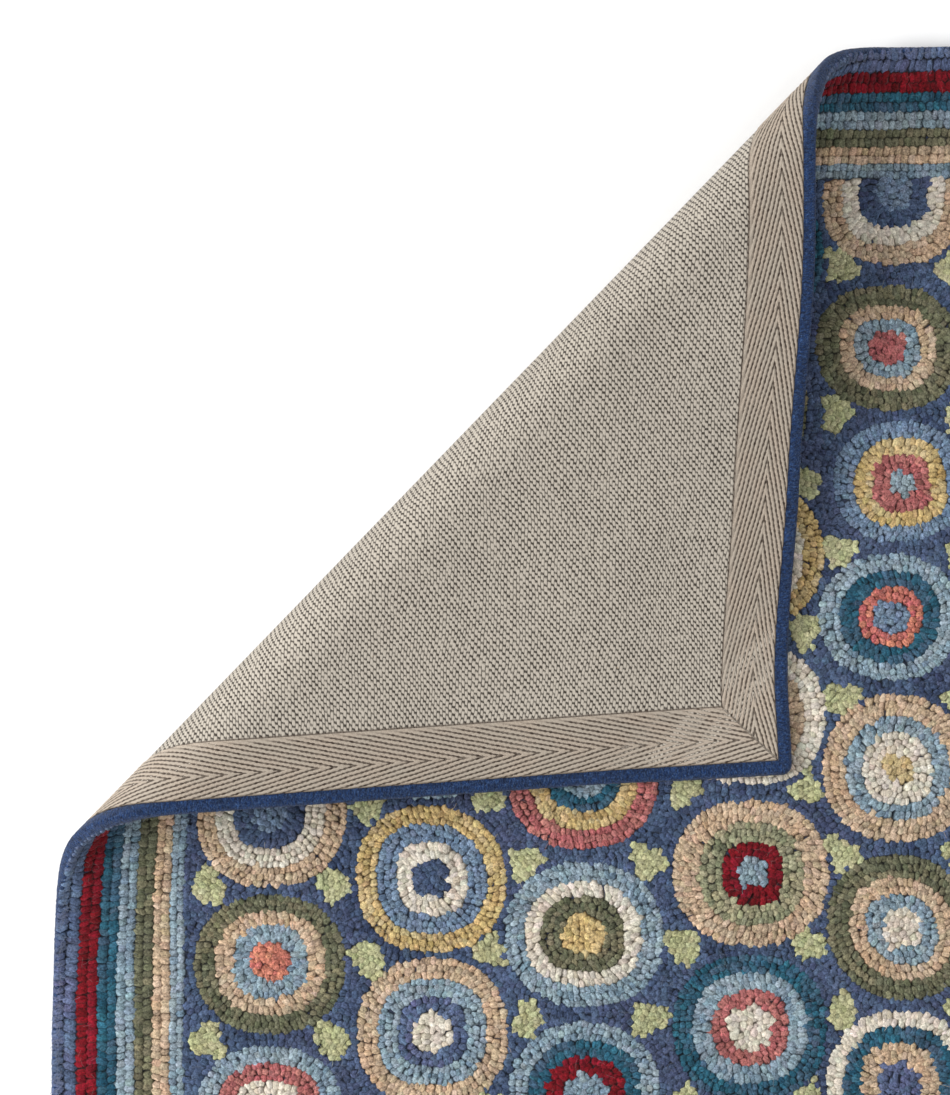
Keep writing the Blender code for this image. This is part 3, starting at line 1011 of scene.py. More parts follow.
for step, room in GROUND_ROWS:
    for circle in circles:
        places, directions, _ = circle.row(-step * ROW_PITCH * GROUND_ROW_STEP, GROUND_PITCH)
        yarns, _ = belonging(places)
        free = yarns == "navy"
        grow_ground(places[free], directions[free], room * GROUND_PITCH, yarns[free])
for spacing in FILL_SPACINGS:
    xs = np.arange(-FIELD_HALF[0], FIELD_HALF[0], spacing)
    ys = np.arange(-FIELD_HALF[1], FIELD_HALF[1], spacing)
    gx, gy = np.meshgrid(xs, ys)
    spots = np.stack((gx.ravel(), gy.ravel()), axis=1)
    yarns, directions = belonging(spots)
    grow_ground(spots, directions, FILL_ROOM * GROUND_PITCH, yarns)
print(len(ground_places), "loops in the ground and the patches")

# %% Push the ground loops apart
PUSH_REACH = 0.0033
PUSH_ROUNDS = 5
PUSH_SHARE = 0.35
NEAR_FIELD = 0.0060          # border loops within this of the field push too


def push_apart(moving, standing):
    """Move loops away from any that stand closer than PUSH_REACH."""
    moving = moving.copy()
    for _ in range(PUSH_ROUNDS):
        tree = KDTree(len(moving) + len(standing))
        for k, (x, y) in enumerate(np.concatenate((moving, standing))):
            tree.insert((x, y, 0.0), k)
        tree.balance()
        for k, (x, y) in enumerate(moving):
            push_x = push_y = 0.0
            for (a, b, _), _, gap in tree.find_range((x, y, 0.0), PUSH_REACH):
                if gap > TINY:
                    weight = (PUSH_REACH - gap) / gap
                    push_x += (x - a) * weight
                    push_y += (y - b) * weight
            moving[k] += PUSH_SHARE * push_x, PUSH_SHARE * push_y
    return moving


standing = [g.table()[:, :2] for g in circle_loops]
near_field = (np.abs(border_loops[:, :2]) < FIELD_HALF + NEAR_FIELD).all(axis=1)
standing = np.concatenate(standing + [border_loops[near_field, :2]])
ground_places = push_apart(np.array(ground_places), standing)
ground_yarns = np.array(ground_yarns)

GROUND_DRIFT = 0.09
DRIFT_WAY = np.array((1.0, 0.7))      # the ground's shade drifts across the rug at a slant
ground = Loops()
filler = Loops()
for yarn in YARNS:
    mine = ground_yarns == yarn
    places = ground_places[mine]
    if not len(places):
        continue
    group = filler if yarn == "green" else ground
    colours = dyed(yarn, (places * DRIFT_WAY).sum(axis=1), GROUND_DRIFT)
    group.add(places, np.array(ground_directions)[mine], *GROUND_LOOP, colours)

# %% [markdown]
# ## The shape of a loop
# Seen from above, a loop of yarn is a small pillow, longer across its row than along it. Six sides are
# enough: pressed together, soft pillows turn into many-sided pebbles anyway. Each has a ring at its foot,
# a ring at its shoulder and one point on top, and smooth shading rounds what lies between. The foot is
# wider than the loop's share of the rug, so that neighbours run into each other and leave no bare cloth.
# All the loops of a piece are one array: the thirteen points of each are worked out at once.

# %% The sizes of a loop
LOOP_OUTLINE = np.array((
    # (along the loop's long side, along its short side)
    (1.15, 0.00),
    (0.70, 0.98),
    (-0.70, 0.98),
    (-1.15, 0.00),
    (-0.70, -0.98),
    (0.70, -0.98),
))
SIDES = len(LOOP_OUTLINE)
LOOP_RINGS = (
    # (size, share of the lean, drop from the top, lightness as painted shade, how far its surface tips
    # outwards)
    (1.42, 0.0, 0.00175, 0.00, radians(60)),
    (0.84, 0.8, 0.00040, 0.80, radians(36)),
)
RIM_RINGS = (
    # the same columns; the lightness is painted shade here as well
    (0.70, 0.0, 0.00360, 0.70, radians(130)),
    (1.12, 0.2, 0.00210, 0.80, radians(85)),
    (0.84, 0.7, 0.00055, 0.85, radians(35)),
)
TOP_TILT = 0.10              # how unevenly the tops of the loops face up
SIZE_JITTER = 0.10
TURN_JITTER = 0.20
HEIGHT_JITTER = 0.00038
OUTLINE_JITTER = 0.07
LEAN = 0.00024               # how far its top strays
HOOK_LEAN = 0.00045          # and how far each loop leans over the one before it
SHINGLE = 0.00028            # so one flank stands this much higher, and the other as much lower
RIM_OVERHANG = 0.0002         # the outer row bulges at most this far past the rim
BOTTOM_DROP = 0.0002
STRAND_STEP = 7.31           # each loop's yarn pattern starts this much further on
STRAND_CYCLE = 613.0
PROBE = 0.0001               # to turn a direction with the rug, both ends of a short line are laid


# %% The faces of a loop
def ring_faces(rings, closed):
    """Triangles between the rings of one loop, up to its top and, if closed, down to its bottom."""
    here = np.arange(SIDES)
    ahead = (here + 1) % SIDES
    faces = []
    for r in range(rings - 1):
        low, high = r * SIDES, (r + 1) * SIDES
        faces += [np.stack((low + here, low + ahead, high + ahead), axis=1),
                  np.stack((low + here, high + ahead, high + here), axis=1)]
    last = (rings - 1) * SIDES
    faces.append(np.stack((last + here, last + ahead, np.full(SIDES, rings * SIDES)), axis=1))
    if closed:
        faces.append(np.stack((ahead, here, np.full(SIDES, rings * SIDES + 1)), axis=1))
    return np.concatenate(faces)


# %% Loops to a mesh
def loop_piece(name, table, material, bake_rule, rings=LOOP_RINGS, closed=False):
    """One mesh of all the loops in a table."""
    count = len(table)
    places, directions, sizes, colours = table[:, :2], table[:, 2:4], table[:, 4:6], table[:, 6:9]
    turn = TURN_JITTER * chance.standard_normal(count)
    c, s = np.cos(turn), np.sin(turn)
    long_way = np.stack((directions[:, 0] * c - directions[:, 1] * s,
                         directions[:, 0] * s + directions[:, 1] * c), axis=1)
    short_way = np.stack((-long_way[:, 1], long_way[:, 0]), axis=1)
    sizes = sizes * (1.0 + SIZE_JITTER * chance.standard_normal((count, 2)))
    lean = LEAN * chance.standard_normal((count, 2)) + HOOK_LEAN * short_way
    uneven = 1.0 + OUTLINE_JITTER * chance.standard_normal((count, SIDES))
    top = RUG_THICKNESS - np.abs(HEIGHT_JITTER * chance.standard_normal(count))
    each = len(rings) * SIDES + 1 + closed
    points = np.empty((count, each, 3))
    strand = np.zeros((count, each, 3))
    yarn = np.empty((count, each, 4))
    facing = np.zeros((count, each, 3))
    tips = unit(LOOP_OUTLINE[None] / sizes[:, None, :])
    outward = tips[:, :, :1] * long_way[:, None, :] + tips[:, :, 1:] * short_way[:, None, :]
    for r, (size, leaning, drop, share, tipped) in enumerate(rings):
        part = slice(r * SIDES, (r + 1) * SIDES)
        far = sizes[:, 0, None] * LOOP_OUTLINE[:, 0] * size * uneven
        wide = sizes[:, 1, None] * LOOP_OUTLINE[:, 1] * size * uneven
        points[:, part, :2] = (places[:, None, :] + far[:, :, None] * long_way[:, None, :]
                               + wide[:, :, None] * short_way[:, None, :] + leaning * lean[:, None, :])
        points[:, part, 2] = (top - drop)[:, None] + SHINGLE * (LOOP_OUTLINE[:, 1] - 1.0) * leaning
        strand[:, part, 0] = wide / MM
        strand[:, part, 1] = far / MM
        # the alpha holds each ring's lightness: painted shade, less towards the loop's foot
        yarn[:, part, 3] = share
        facing[:, part, :2] = outward * sin(tipped)
        facing[:, part, 2] = cos(tipped)
    peak = len(rings) * SIDES
    points[:, peak, :2] = places + lean
    points[:, peak, 2] = top
    yarn[:, :, :3] = colours[:, None, :]
    yarn[:, peak, 3] = 1.0
    facing[:, peak:, 2] = 1.0
    facing[:, :peak + 1, :2] += TOP_TILT * chance.standard_normal((count, 1, 2))
    if closed:
        facing[:, peak + 1, 2] = -1.0
        points[:, peak + 1, :2] = places
        points[:, peak + 1, 2] = top - rings[0][2] - BOTTOM_DROP
        yarn[:, peak + 1, 3] = rings[0][3]
    strand[:, :, 2] = (np.arange(count) * STRAND_STEP % STRAND_CYCLE)[:, None]
    limit = HALF_RUG + RIM_OVERHANG
    points[:, :, :2] = np.clip(points[:, :, :2], -limit, limit)
    faces = ring_faces(len(rings), closed)
    corners = (np.arange(count)[:, None, None] * each + faces[None]).reshape(-1, 3)
    flat_points = points.reshape(-1, 3)
    stored = {"yarn": yarn, "strand": strand}
    lying = laid(flat_points)
    normals = unit(laid(flat_points + PROBE * facing.reshape(-1, 3)) - lying)
    return make_piece(name, lying, corners, material, stored,
                      bake_rule(flat_points[:, :2]), normals=normals)


# %% [markdown]
# ## The wool
# Wool yarn is spun from crimped fibres: it has fine lengthwise strands, and light sinks into the gaps
# between loops. That shade is painted: the colour stored on each loop is darkened towards its foot. It is
# also streaked by noise that is stretched along the yarn, and the same streaks drive a bump. Thin bright
# lines, where another noise passes its middle, are the crimped fibres on top. Pale yarns show less of all
# this than dark ones do, and a little sheen stands for the fuzz.

# %% The wool's material
def wool_look():
    """Looped wool in the colour that is stored on each loop."""
    look = Look("looped wool", roughness=1.0, sheen=0.10)
    yarn = look.stored("yarn")
    # each ring's stored lightness, which paints shade towards the loop's foot
    height = look.stored("yarn", "Alpha")
    across, along, number = look.parts(look.stored("strand", "Vector"))
    streaks = look.noise(look.vector(across * 1.1, along * 0.35, number), 1.0, detail=3.0)
    streaks = look.spread(streaks, 0.30, 0.70)
    place = look.node("ShaderNodeNewGeometry")
    fuzz = look.spread(look.noise(place, 850.0, detail=3.0, roughness=0.75), 0.36, 0.64)
    heather = look.spread(look.noise(place, 420.0, detail=2.0), 0.38, 0.62)
    curls = look.noise(place, 520.0, detail=2.0, roughness=0.6) - 0.5
    curls = look.spread(curls.absolute(), 0.0, 0.045, 1.0, 0.0)
    # painted shade in the gaps between loops
    depth = look.spread(height, 0.16, 0.72)
    gap_shade = 0.40 + 0.60 * depth
    shade = gap_shade * (0.24 + 0.42 * streaks + 0.66 * fuzz + 0.16 * heather + 0.48 * curls)
    _, lightness, _ = look.parts(yarn)
    calm = look.spread(lightness, 0.22, 0.50, 1.0, 0.65)
    shade = 1.0 + (shade - 1.0) * calm
    # painted shade: towards the foot the yarn is multiplied by itself, darker and deeper in hue
    shaded_yarn = look.mix(0.60 - 0.60 * depth, yarn, yarn, "MULTIPLY")
    bump = look.raised(0.5 * streaks + 0.6 * fuzz, 0.00035)
    return look.finish(look.tint(shaded_yarn, shade), bump)


wool = wool_look()


# %% Maps for the painted picture
MAP_MARGIN = 0.001


def whole_map(places):
    """The flat rug on the unit square."""
    low, high = places.min(axis=0), places.max(axis=0)
    return (places - low) / (high - low)


def split_map(axis):
    """Two far sides of the border, side by side."""
    def rule(places):
        share = whole_map(places)
        band = (FIELD_INSET * END_WIDER + MAP_MARGIN) / np.ptp(places[:, axis])
        near = share[:, axis] < 0.5
        side = np.where(near, share[:, axis], share[:, axis] - (1.0 - band)) / band
        share[:, axis] = np.clip(side, 0.0, 1.0) * 0.5 + np.where(near, 0.0, 0.5)
        return share
    return rule


# %% [markdown]
# Some loops lie so deep in the closed fold that nobody can ever see them. A loop faces the one that lies as
# far round the fold on its other side, and where both are far from the rug's edge neither is made.

# %% Make the loops
HIDDEN_DEPTH = 0.080         # from the rug's edge


def showing(table):
    """The loops of a table, without those deep in the closed fold."""
    places = table[:, :2]
    across = (places - FOLD_START) @ ACROSS
    facing = places + 2 * (CREST - across)[:, None] * ACROSS
    limit = HALF_RUG - HIDDEN_DEPTH
    deep = (np.abs(places) < limit).all(axis=1) & (np.abs(facing) < limit).all(axis=1)
    return table[~deep]


inset_x = RUG_WIDTH / 2 - np.abs(border_loops[:, 0])
inset_y = (RUG_LENGTH / 2 - np.abs(border_loops[:, 1])) / END_WIDER
on_side = inset_x < inset_y
pile = [
    loop_piece("border_loops_sides", border_loops[on_side], wool, split_map(0)),
    loop_piece("border_loops_ends", border_loops[~on_side], wool, split_map(1)),
    loop_piece("circle_loops_left", showing(circle_loops[0].table()), wool, whole_map),
    loop_piece("circle_loops_middle", showing(circle_loops[1].table()), wool, whole_map),
    loop_piece("circle_loops_right", showing(circle_loops[2].table()), wool, whole_map),
    loop_piece("ground_loops", showing(ground.table()), wool, whole_map),
    loop_piece("patch_loops", showing(filler.table()), wool, whole_map),
    loop_piece("rim_loops", rim_loops.table(), wool, whole_map, RIM_RINGS, closed=True),
]

# %% [markdown]
# ## Stray fibres
# Fine fibres work loose and lie across the loops, in the colour of the loop that they come from. Each is
# a ribbon a tenth of a millimetre wide that bends at a few joints, and all of them are one mesh.

# %% Stray fibres
FIBRES = 6000
RIM_FIBRES = 5000               # the outermost row is rubbed most, so it has many more
FIBRE_WIDTH = 0.00012
FIBRE_LENGTH = (0.0020, 0.0058)
FIBRE_JOINTS = 4
FIBRE_CURL = 1.5                # radians from root to tip
FIBRE_LIFT = 0.0006
FIBRE_OWN = 0.75                # how much a fibre keeps of its loop's colour
FIBRE_PALE = 0.085
FIBRE_OVERHANG = 0.0010
FIBRE_SINK = 0.0002             # how far below the tips of the loops a fibre may start


def fibre_piece(name, roots, headings, heights, colours, material):
    """One mesh of ribbons that start at flat places, with the height and colour of each."""
    count = len(roots)
    lengths = chance.uniform(*FIBRE_LENGTH, count)
    curl = FIBRE_CURL * chance.uniform(-1, 1, count)
    line = np.empty((count, FIBRE_JOINTS, 3))
    side = np.empty((count, FIBRE_JOINTS, 2))
    spot = roots.copy()
    for joint in range(FIBRE_JOINTS):
        share = joint / (FIBRE_JOINTS - 1)
        angle = headings + curl * share
        line[:, joint, :2] = spot
        line[:, joint, 2] = heights + FIBRE_LIFT * sin(pi * share) * chance.random(count)
        side[:, joint] = np.stack((-np.sin(angle), np.cos(angle)), axis=1)
        spot += (lengths / (FIBRE_JOINTS - 1))[:, None] * compass(angle)
    points = np.repeat(line[:, :, None, :], 2, axis=2)
    points[:, :, 0, :2] += side * FIBRE_WIDTH / 2
    points[:, :, 1, :2] -= side * FIBRE_WIDTH / 2
    limit = HALF_RUG + FIBRE_OVERHANG
    points[..., :2] = np.clip(points[..., :2], -limit, limit)
    start = np.arange(count)[:, None] * 2 * FIBRE_JOINTS + np.arange(FIBRE_JOINTS - 1)[None] * 2
    corners = (start[:, :, None] + np.array((0, 1, 3, 2))).reshape(-1, 4)
    flat_points = points.reshape(-1, 3)
    yarn = np.ones((count, 2 * FIBRE_JOINTS, 4))
    yarn[:, :, :3] = colours[:, None, :]
    return make_piece(name, laid(flat_points), corners, material, {"yarn": yarn},
                      whole_map(flat_points[:, :2]))


fibre_look = Look("loose fibres", roughness=1.0)
fibre_wool = fibre_look.finish(fibre_look.tint(fibre_look.stored("yarn"), 1.0))
field_loops = [group.table() for group in (ground, filler, *circle_loops)]
every_loop = showing(np.concatenate([border_loops] + field_loops))
rim_table = rim_loops.table()
chosen = np.concatenate((every_loop[chance.integers(0, len(every_loop), FIBRES)],
                         rim_table[chance.integers(0, len(rim_table), RIM_FIBRES)]))
fibre_colours = chosen[:, 6:9] * FIBRE_OWN + FIBRE_PALE
headings = chance.uniform(0, 2 * pi, len(chosen))
heights = RUG_THICKNESS - FIBRE_SINK + FIBRE_SINK * chance.random(len(chosen))
stray_fibres = fibre_piece("stray_fibres", chosen[:, :2], headings, heights, fibre_colours, fibre_wool)

# %% [markdown]
# ## Cloth that bends smoothly
# A sheet needs many narrow strips where it rolls and only a few large ones where it lies flat. So its
# outline is cut by lines that run along the fold, close together on the roll, and by some across it.
# Blender's bisect does the cutting. Then the sheet gets its thickness and goes round the fold.

# %% Cut a flat outline for the fold
STRIPS = (
    # (until this far round the fold, strips this wide)
    (0.000, 0.0600),
    (0.140, 0.0030),
    (0.360, 0.0150),
)
STRIPS_FROM = -0.720
RIB_SPACING = 0.025
RIB_REACH = 0.650


def strip_lines():
    """How far across the fold each cut is made."""
    lines = [STRIPS_FROM]
    for until, width in STRIPS:
        first = lines[-1]
        count = round((until - first) / width)
        lines += [first + (until - first) * (k + 1) / count for k in range(count)]
    return lines


def doubled_areas(points, corners):
    """Twice the flat area of each triangle, below 0 where its corners run clockwise."""
    a, b, c = (points[corners[:, k], :2] for k in range(3))
    return (b[:, 0] - a[:, 0]) * (c[:, 1] - a[:, 1]) - (b[:, 1] - a[:, 1]) * (c[:, 0] - a[:, 0])


def cut_outline(outline):
    """Flat points and triangles of an outline, cut where the rug bends."""
    shape = bmesh.new()
    shape.faces.new([shape.verts.new((x, y, 0.0)) for x, y in outline])
    cuts = [(FOLD_START + ACROSS * d, ACROSS) for d in strip_lines()]
    cuts += [(FOLD_START + ALONG * d, ALONG) for d in np.arange(-RIB_REACH, RIB_REACH, RIB_SPACING)]
    for place, way in cuts:
        everything = shape.verts[:] + shape.edges[:] + shape.faces[:]
        plane = {"plane_co": (*place, 0.0), "plane_no": (*way, 0.0)}
        bmesh.ops.bisect_plane(shape, geom=everything, dist=TINY, **plane)
    bmesh.ops.triangulate(shape, faces=shape.faces[:])
    shape.verts.index_update()
    points = np.array([v.co[:2] for v in shape.verts])
    corners = np.array([[v.index for v in f.verts] for f in shape.faces])
    shape.free()
    turned = doubled_areas(points, corners) < 0
    corners[turned] = corners[turned][:, ::-1]
    return points, corners


def thick(points, corners, low, high):
    """A flat sheet with its two faces and its rim, from heights low to high."""
    count = len(points)
    below = np.column_stack((points, np.full(count, low)))
    above = np.column_stack((points, np.full(count, high)))
    edges = np.concatenate((corners[:, (0, 1)], corners[:, (1, 2)], corners[:, (2, 0)]))
    _, index, uses = np.unique(np.sort(edges, axis=1), axis=0, return_index=True, return_counts=True)
    rim = edges[index[uses == 1]]
    rim_low = np.stack((rim[:, 0], rim[:, 1], rim[:, 1] + count), axis=1)
    rim_high = np.stack((rim[:, 0], rim[:, 1] + count, rim[:, 0] + count), axis=1)
    faces = np.concatenate((corners[:, ::-1], corners + count, rim_low, rim_high))
    return np.concatenate((below, above)), faces


def rectangle(inset):
    """The rug's outline moved this far inwards."""
    x, y = RUG_WIDTH / 2 - inset, RUG_LENGTH / 2 - inset
    return ((-x, -y), (x, -y), (x, y), (-x, y))


# %% [markdown]
# ## The woven back
# The loops are hooked through a foundation cloth, seen only in the gaps between them and painted dark as
# their shade.
# Under it lies the cloth that shows on the turned corner: a plain weave of light, uneven threads.
# Its threads are two millimetres wide, far too many to model, so they are drawn in the material.

# %% Weave material
WARP_PITCH_MM = 1.97
WEFT_PITCH_MM = 1.62
DASH_TILT = 0.16             # the gaps between threads slant, as a share of their own spacing
SEAM_X_MM = (RUG_WIDTH / 2 - YARN_WIDTH - GAP - TAPE_SHOWN) / MM
SEAM_Y_MM = (RUG_LENGTH / 2 - YARN_WIDTH - GAP - TAPE_SHOWN) / MM


def weave_look():
    """Plain weave: each gap between two threads is a short dash of painted shade, and every other row is
    shifted.
    """
    look = Look("plain woven cloth", roughness=0.95, sheen=0.05)
    x, y, _ = look.parts(look.stored("threads", "Vector"))
    place = look.vector(x, y)
    waver = look.noise(place, 0.07, detail=2.0)
    skew = look.noise(look.vector(y, x, 9.0), 0.012, detail=1.0)
    u = (y + 2.6 * waver + 10.0 * skew) / WEFT_PITCH_MM
    column = u.whole()
    odd = (column * 0.5).fraction()
    inside = u.fraction()
    ragged = look.noise(place, 0.55, detail=2.0) - 0.5
    v = (x + 2.6 * look.noise(look.vector(x, y, 5.0), 0.06) + 0.9 * ragged) / (2.0 * WARP_PITCH_MM)
    v = v + odd + DASH_TILT * inside
    dash = ((v.fraction() - 0.5).absolute() * -2.0 + 1.0) * WARP_PITCH_MM
    across = (inside * pi).sine()
    own_number = look.vector(column * 3.7, v.whole() * 5.3)
    strength = look.spread(look.noise(own_number, 1.0, detail=0.0), 0.25, 0.65)
    # painted shade: the hollows between threads and the creases between rows are darkened
    hollow = look.spread(dash, 0.12, 1.05, 1.0, 0.0) * look.spread(across, 0.0, 0.30)
    hollow = hollow * (0.55 + 0.45 * strength)
    crease = look.spread(across, 0.0, 0.70, 1.0, 0.0) * look.spread(look.noise(place, 0.30), 0.25, 0.65)
    grain = look.noise(place, 1.5, detail=3.0, roughness=0.65)
    height = 1.0 - hollow - 0.70 * crease
    light = look.spread(height + 0.60 * (grain - 0.5), 0.00, 1.10)
    # the dark end of this mix is painted shade in the hollows and creases; the grain is the threads' own
    # tone
    colour = look.mix(light, (0.042, 0.035, 0.028), (0.450, 0.405, 0.343))
    slub = look.spread(look.noise(look.vector(x * 0.5, y * 0.25, 3.0), 1.0, detail=2.0), 0.70, 0.80)
    colour = look.mix(slub * 0.40, colour, (0.36, 0.26, 0.16))
    speck = look.spread(look.noise(look.vector(x, y, 21.0), 0.55, detail=1.0), 0.74, 0.82)
    colour = look.mix(speck * 0.5, colour, (0.06, 0.05, 0.06))
    # the seam's dark line is partly its thread and partly painted shade where the tape steps up from the
    # cloth
    seam_x = (x.absolute() - SEAM_X_MM).absolute()
    seam_y = (y.absolute() - SEAM_Y_MM).absolute()
    seam = look.spread(seam_x.maths("MINIMUM", seam_y) + 1.2 * ragged, 0.45, 1.15, 1.0, 0.0)
    colour = look.mix(seam * 0.75, colour, (0.060, 0.040, 0.028))
    cloud = look.noise(place, 0.02, detail=3.0)
    return look.finish(look.tint(colour, 0.90 + 0.2 * cloud), look.raised(height, 0.0005))


# %% Make the woven back and the foundation
SHEET_SHARP = radians(40)    # the rim of a sheet is a sharp edge
TAPE_STEP = 0.0005           # the tape lies on the cloth, so the cloth starts this much higher
BACK_TUCK = 0.0020           # the cloth ends this far in from the wrapped yarn, under the tape
FOUNDATION_TUCK = 0.0005     # and the foundation this far in
FOUNDATION_TOP = 0.0062


def sheet_piece(name, inset, low, high, material):
    """A sheet that ends this far in from the rug's edge, and the flat size it was cut to."""
    points, corners = cut_outline(rectangle(inset))
    places, faces = thick(points, corners, low, high)
    sheet = make_piece(name, laid(places), faces, material, {"threads": places / MM},
                       whole_map(places[:, :2]), sharp=SHEET_SHARP)
    return sheet, (RUG_WIDTH - 2 * inset, RUG_LENGTH - 2 * inset)


outer = YARN_WIDTH + GAP
woven_back, back_size = sheet_piece("woven_back", outer + BACK_TUCK, TAPE_STEP, BACK_THICKNESS,
                                    weave_look())
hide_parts("backing_cloth")

# painted shade: the foundation is dark navy so that the holes between loops look shaded
ground_look = Look("foundation cloth")
dark_noise = ground_look.noise(ground_look.stored("threads", "Vector"), 0.8)
foundation_shade = ground_look.finish(ground_look.tint((0.040, 0.048, 0.080), 0.6 + 0.8 * dark_noise))
foundation, foundation_size = sheet_piece("foundation", outer + FOUNDATION_TUCK, BACK_THICKNESS + GAP,
                                          FOUNDATION_TOP, foundation_shade)
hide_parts("hooked_pile")

# %% [markdown]
# ## The herringbone tape
# Tape covers the raw edge of the cloth. Its ridges lean one way up to a line past the middle and the other
# way beyond it, like the bones of a herring. The ridges are large enough to model: on each half of the
# tape a slanted grid has one line on each crest and one in each furrow.
# At the corners the tapes meet on a slanted line, so each grid is simply held back at that line.

# %% Tape material
RIDGE_PITCH = 0.0023
RIDGE_SLANT = radians(13.5)
APEX_SHARE = 0.58            # how far out from the seam the ridges turn
RIDGE_HEIGHT = 0.00045
BEAD_MM = 2.8                # threads cross under a ridge this often and close its furrow


def tape_look():
    """Herringbone twill: pale ridges, furrows in painted shade, dark mitre lines, and painted shade along
    the yarn.
    """
    look = Look("herringbone tape", roughness=0.92, sheen=0.05)
    along, out, ridge = look.parts(look.stored("threads", "Vector"))
    mitre = look.stored("mitre", "Fac")
    wobble = look.noise(look.vector(along * 0.12, out * 0.3), 1.0, detail=2.0) - 0.5
    turn = (ridge + 0.35 * wobble) * (2 * pi)
    crest = turn.maths("COSINE") * 0.5 + 0.5
    bead = (along * (2 * pi / BEAD_MM) + ridge.whole() * 2.4 + 2.0 * wobble).sine() * 0.5 + 0.5
    grain = look.noise(look.vector(along, out), 1.8, detail=3.0, roughness=0.65)
    breaks = look.noise(look.vector(along * 0.28, ridge * 2.0, 7.0), 1.0, detail=1.0)
    broken = look.spread(breaks, 0.35, 0.65)
    selvage = look.spread(out, 0.8, 2.6)
    # painted shade in the furrows between the ridges
    gap = look.spread(crest + 0.28 * bead + 0.7 * (grain - 0.5), 0.20, 0.80, 1.0, 0.0)
    gap = gap * (0.25 + 0.75 * selvage) * (0.72 + 0.28 * broken)
    light = look.spread(grain, 0.30, 0.65)
    colour = look.mix(light, (0.290, 0.235, 0.185), (0.450, 0.380, 0.310))
    patch = look.spread(look.noise(look.vector(along * 0.05, out * 0.1, 4.0), 1.0), 0.35, 0.65)
    colour = look.mix(patch * 0.5, colour, (0.370, 0.330, 0.275))
    line = look.spread(mitre + 0.8 * wobble, 0.15, 0.95, 1.0, 0.0)
    # painted shade where the wrapped yarn lies over the tape's outer edge
    rim = look.spread(out + 0.9 * wobble, TAPE_SHOWN / MM - 1.9, TAPE_SHOWN / MM - 1.0)
    dark = gap.maths("MAXIMUM", line * 0.5).maths("MAXIMUM", rim * 0.6)
    colour = look.mix(dark, colour, (0.034, 0.023, 0.017))
    height = crest * 0.7 + 0.2 * bead + 0.25 * grain
    return look.finish(colour, look.raised(height, 0.0004))


# %% Make the tapes
TAPE_HIDDEN = 0.0008         # the wrapped yarn lies over this much of the tape's outer edge
TAPE_ROWS = (16, 11)         # rows of the grid from the seam to the turn, and from there outwards
QUARTER_TURNS = {"top": 0, "left": 1, "bottom": 2, "right": 3}
TINY_AREA = 1e-12            # a triangle smaller than this is left out


def make_tape(side, material):
    """One length of tape: flat along the far end at first, then on its own side and round the fold."""
    turn = QUARTER_TURNS[side]
    long_half, far = RUG_WIDTH / 2, RUG_LENGTH / 2
    if turn % 2:
        long_half, far = far, long_half
    inner = outer + TAPE_SHOWN
    points, corners, stored, mitres = [], [], [], []
    start = 0
    apex = APEX_SHARE * TAPE_SHOWN
    crest_step = RIDGE_PITCH / sin(RIDGE_SLANT)
    stretches = ((0.0, apex, -1.0, TAPE_ROWS[0]), (apex, TAPE_SHOWN - TAPE_HIDDEN, 1.0, TAPE_ROWS[1]))
    for near, end, lean, rows in stretches:
        v = np.linspace(near, end, rows + 1)
        shift = lean * (v - apex) / np.tan(RIDGE_SLANT)
        reach = long_half + TAPE_SHOWN / np.tan(RIDGE_SLANT)
        lines = np.arange(-np.ceil(reach / crest_step) * 2, np.ceil(reach / crest_step) * 2 + 1) / 2
        u = lines[:, None] * crest_step - shift[None, :]
        inset = inner - v
        limit = long_half - inset - GAP / sqrt(2)
        u = np.clip(u, -limit[None, :], limit[None, :])
        ridge = (u + shift[None, :]) / crest_step
        furrow = 0.5 - 0.5 * np.cos(2 * pi * ridge)
        z = RIDGE_HEIGHT * furrow
        y = np.broadcast_to(far - inset[None, :], u.shape)
        place = np.stack((u, y, z), axis=2).reshape(-1, 3)
        info = np.stack((u / MM, np.broadcast_to(v[None, :], u.shape) / MM, ridge), axis=2).reshape(-1, 3)
        grid = np.arange(place.shape[0]).reshape(u.shape) + start
        quads = np.stack((grid[:-1, :-1], grid[:-1, 1:], grid[1:, 1:], grid[1:, :-1]), axis=2)
        wide = (np.abs(u[1:, :-1] - u[:-1, :-1]) + np.abs(u[1:, 1:] - u[:-1, 1:])).ravel() > TINY
        points.append(place)
        stored.append(info)
        mitres.append(((limit[None, :] - np.abs(u)) / MM).ravel())
        corners.append(quads.reshape(-1, 4)[wide])
        start += len(place)
    points, stored, corners = np.concatenate(points), np.concatenate(stored), np.concatenate(corners)
    mitres = np.concatenate(mitres)
    corners = np.concatenate((corners[:, (0, 1, 2)], corners[:, (0, 2, 3)]))
    area = doubled_areas(points, corners)
    corners = corners[np.abs(area) > TINY_AREA]
    area = area[np.abs(area) > TINY_AREA]
    corners[area > 0] = corners[area > 0][:, ::-1]
    for _ in range(turn):
        points = np.column_stack((-points[:, 1], points[:, 0], points[:, 2]))
    used, where = np.unique(corners, return_inverse=True)
    points, stored, corners = points[used], stored[used], where.reshape(-1, 3)
    layers = {"threads": stored, "mitre": mitres[used]}
    tape = make_piece("tape_" + side + "_ridged", laid(points), corners, material, layers,
                      whole_map(stored[:, :2] * MM))
    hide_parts("tape_" + side)


tape_material = tape_look()
for side in ("left", "top", "right", "bottom"):
    make_tape(side, tape_material)

# %% [markdown]
# ## The whipped edge
# Blue yarn is wrapped round the rim until no cloth shows. It has felted with use, so its turns are only
# just visible. It is one band swept round the rim, a little uneven, and its fine turns are in the material.

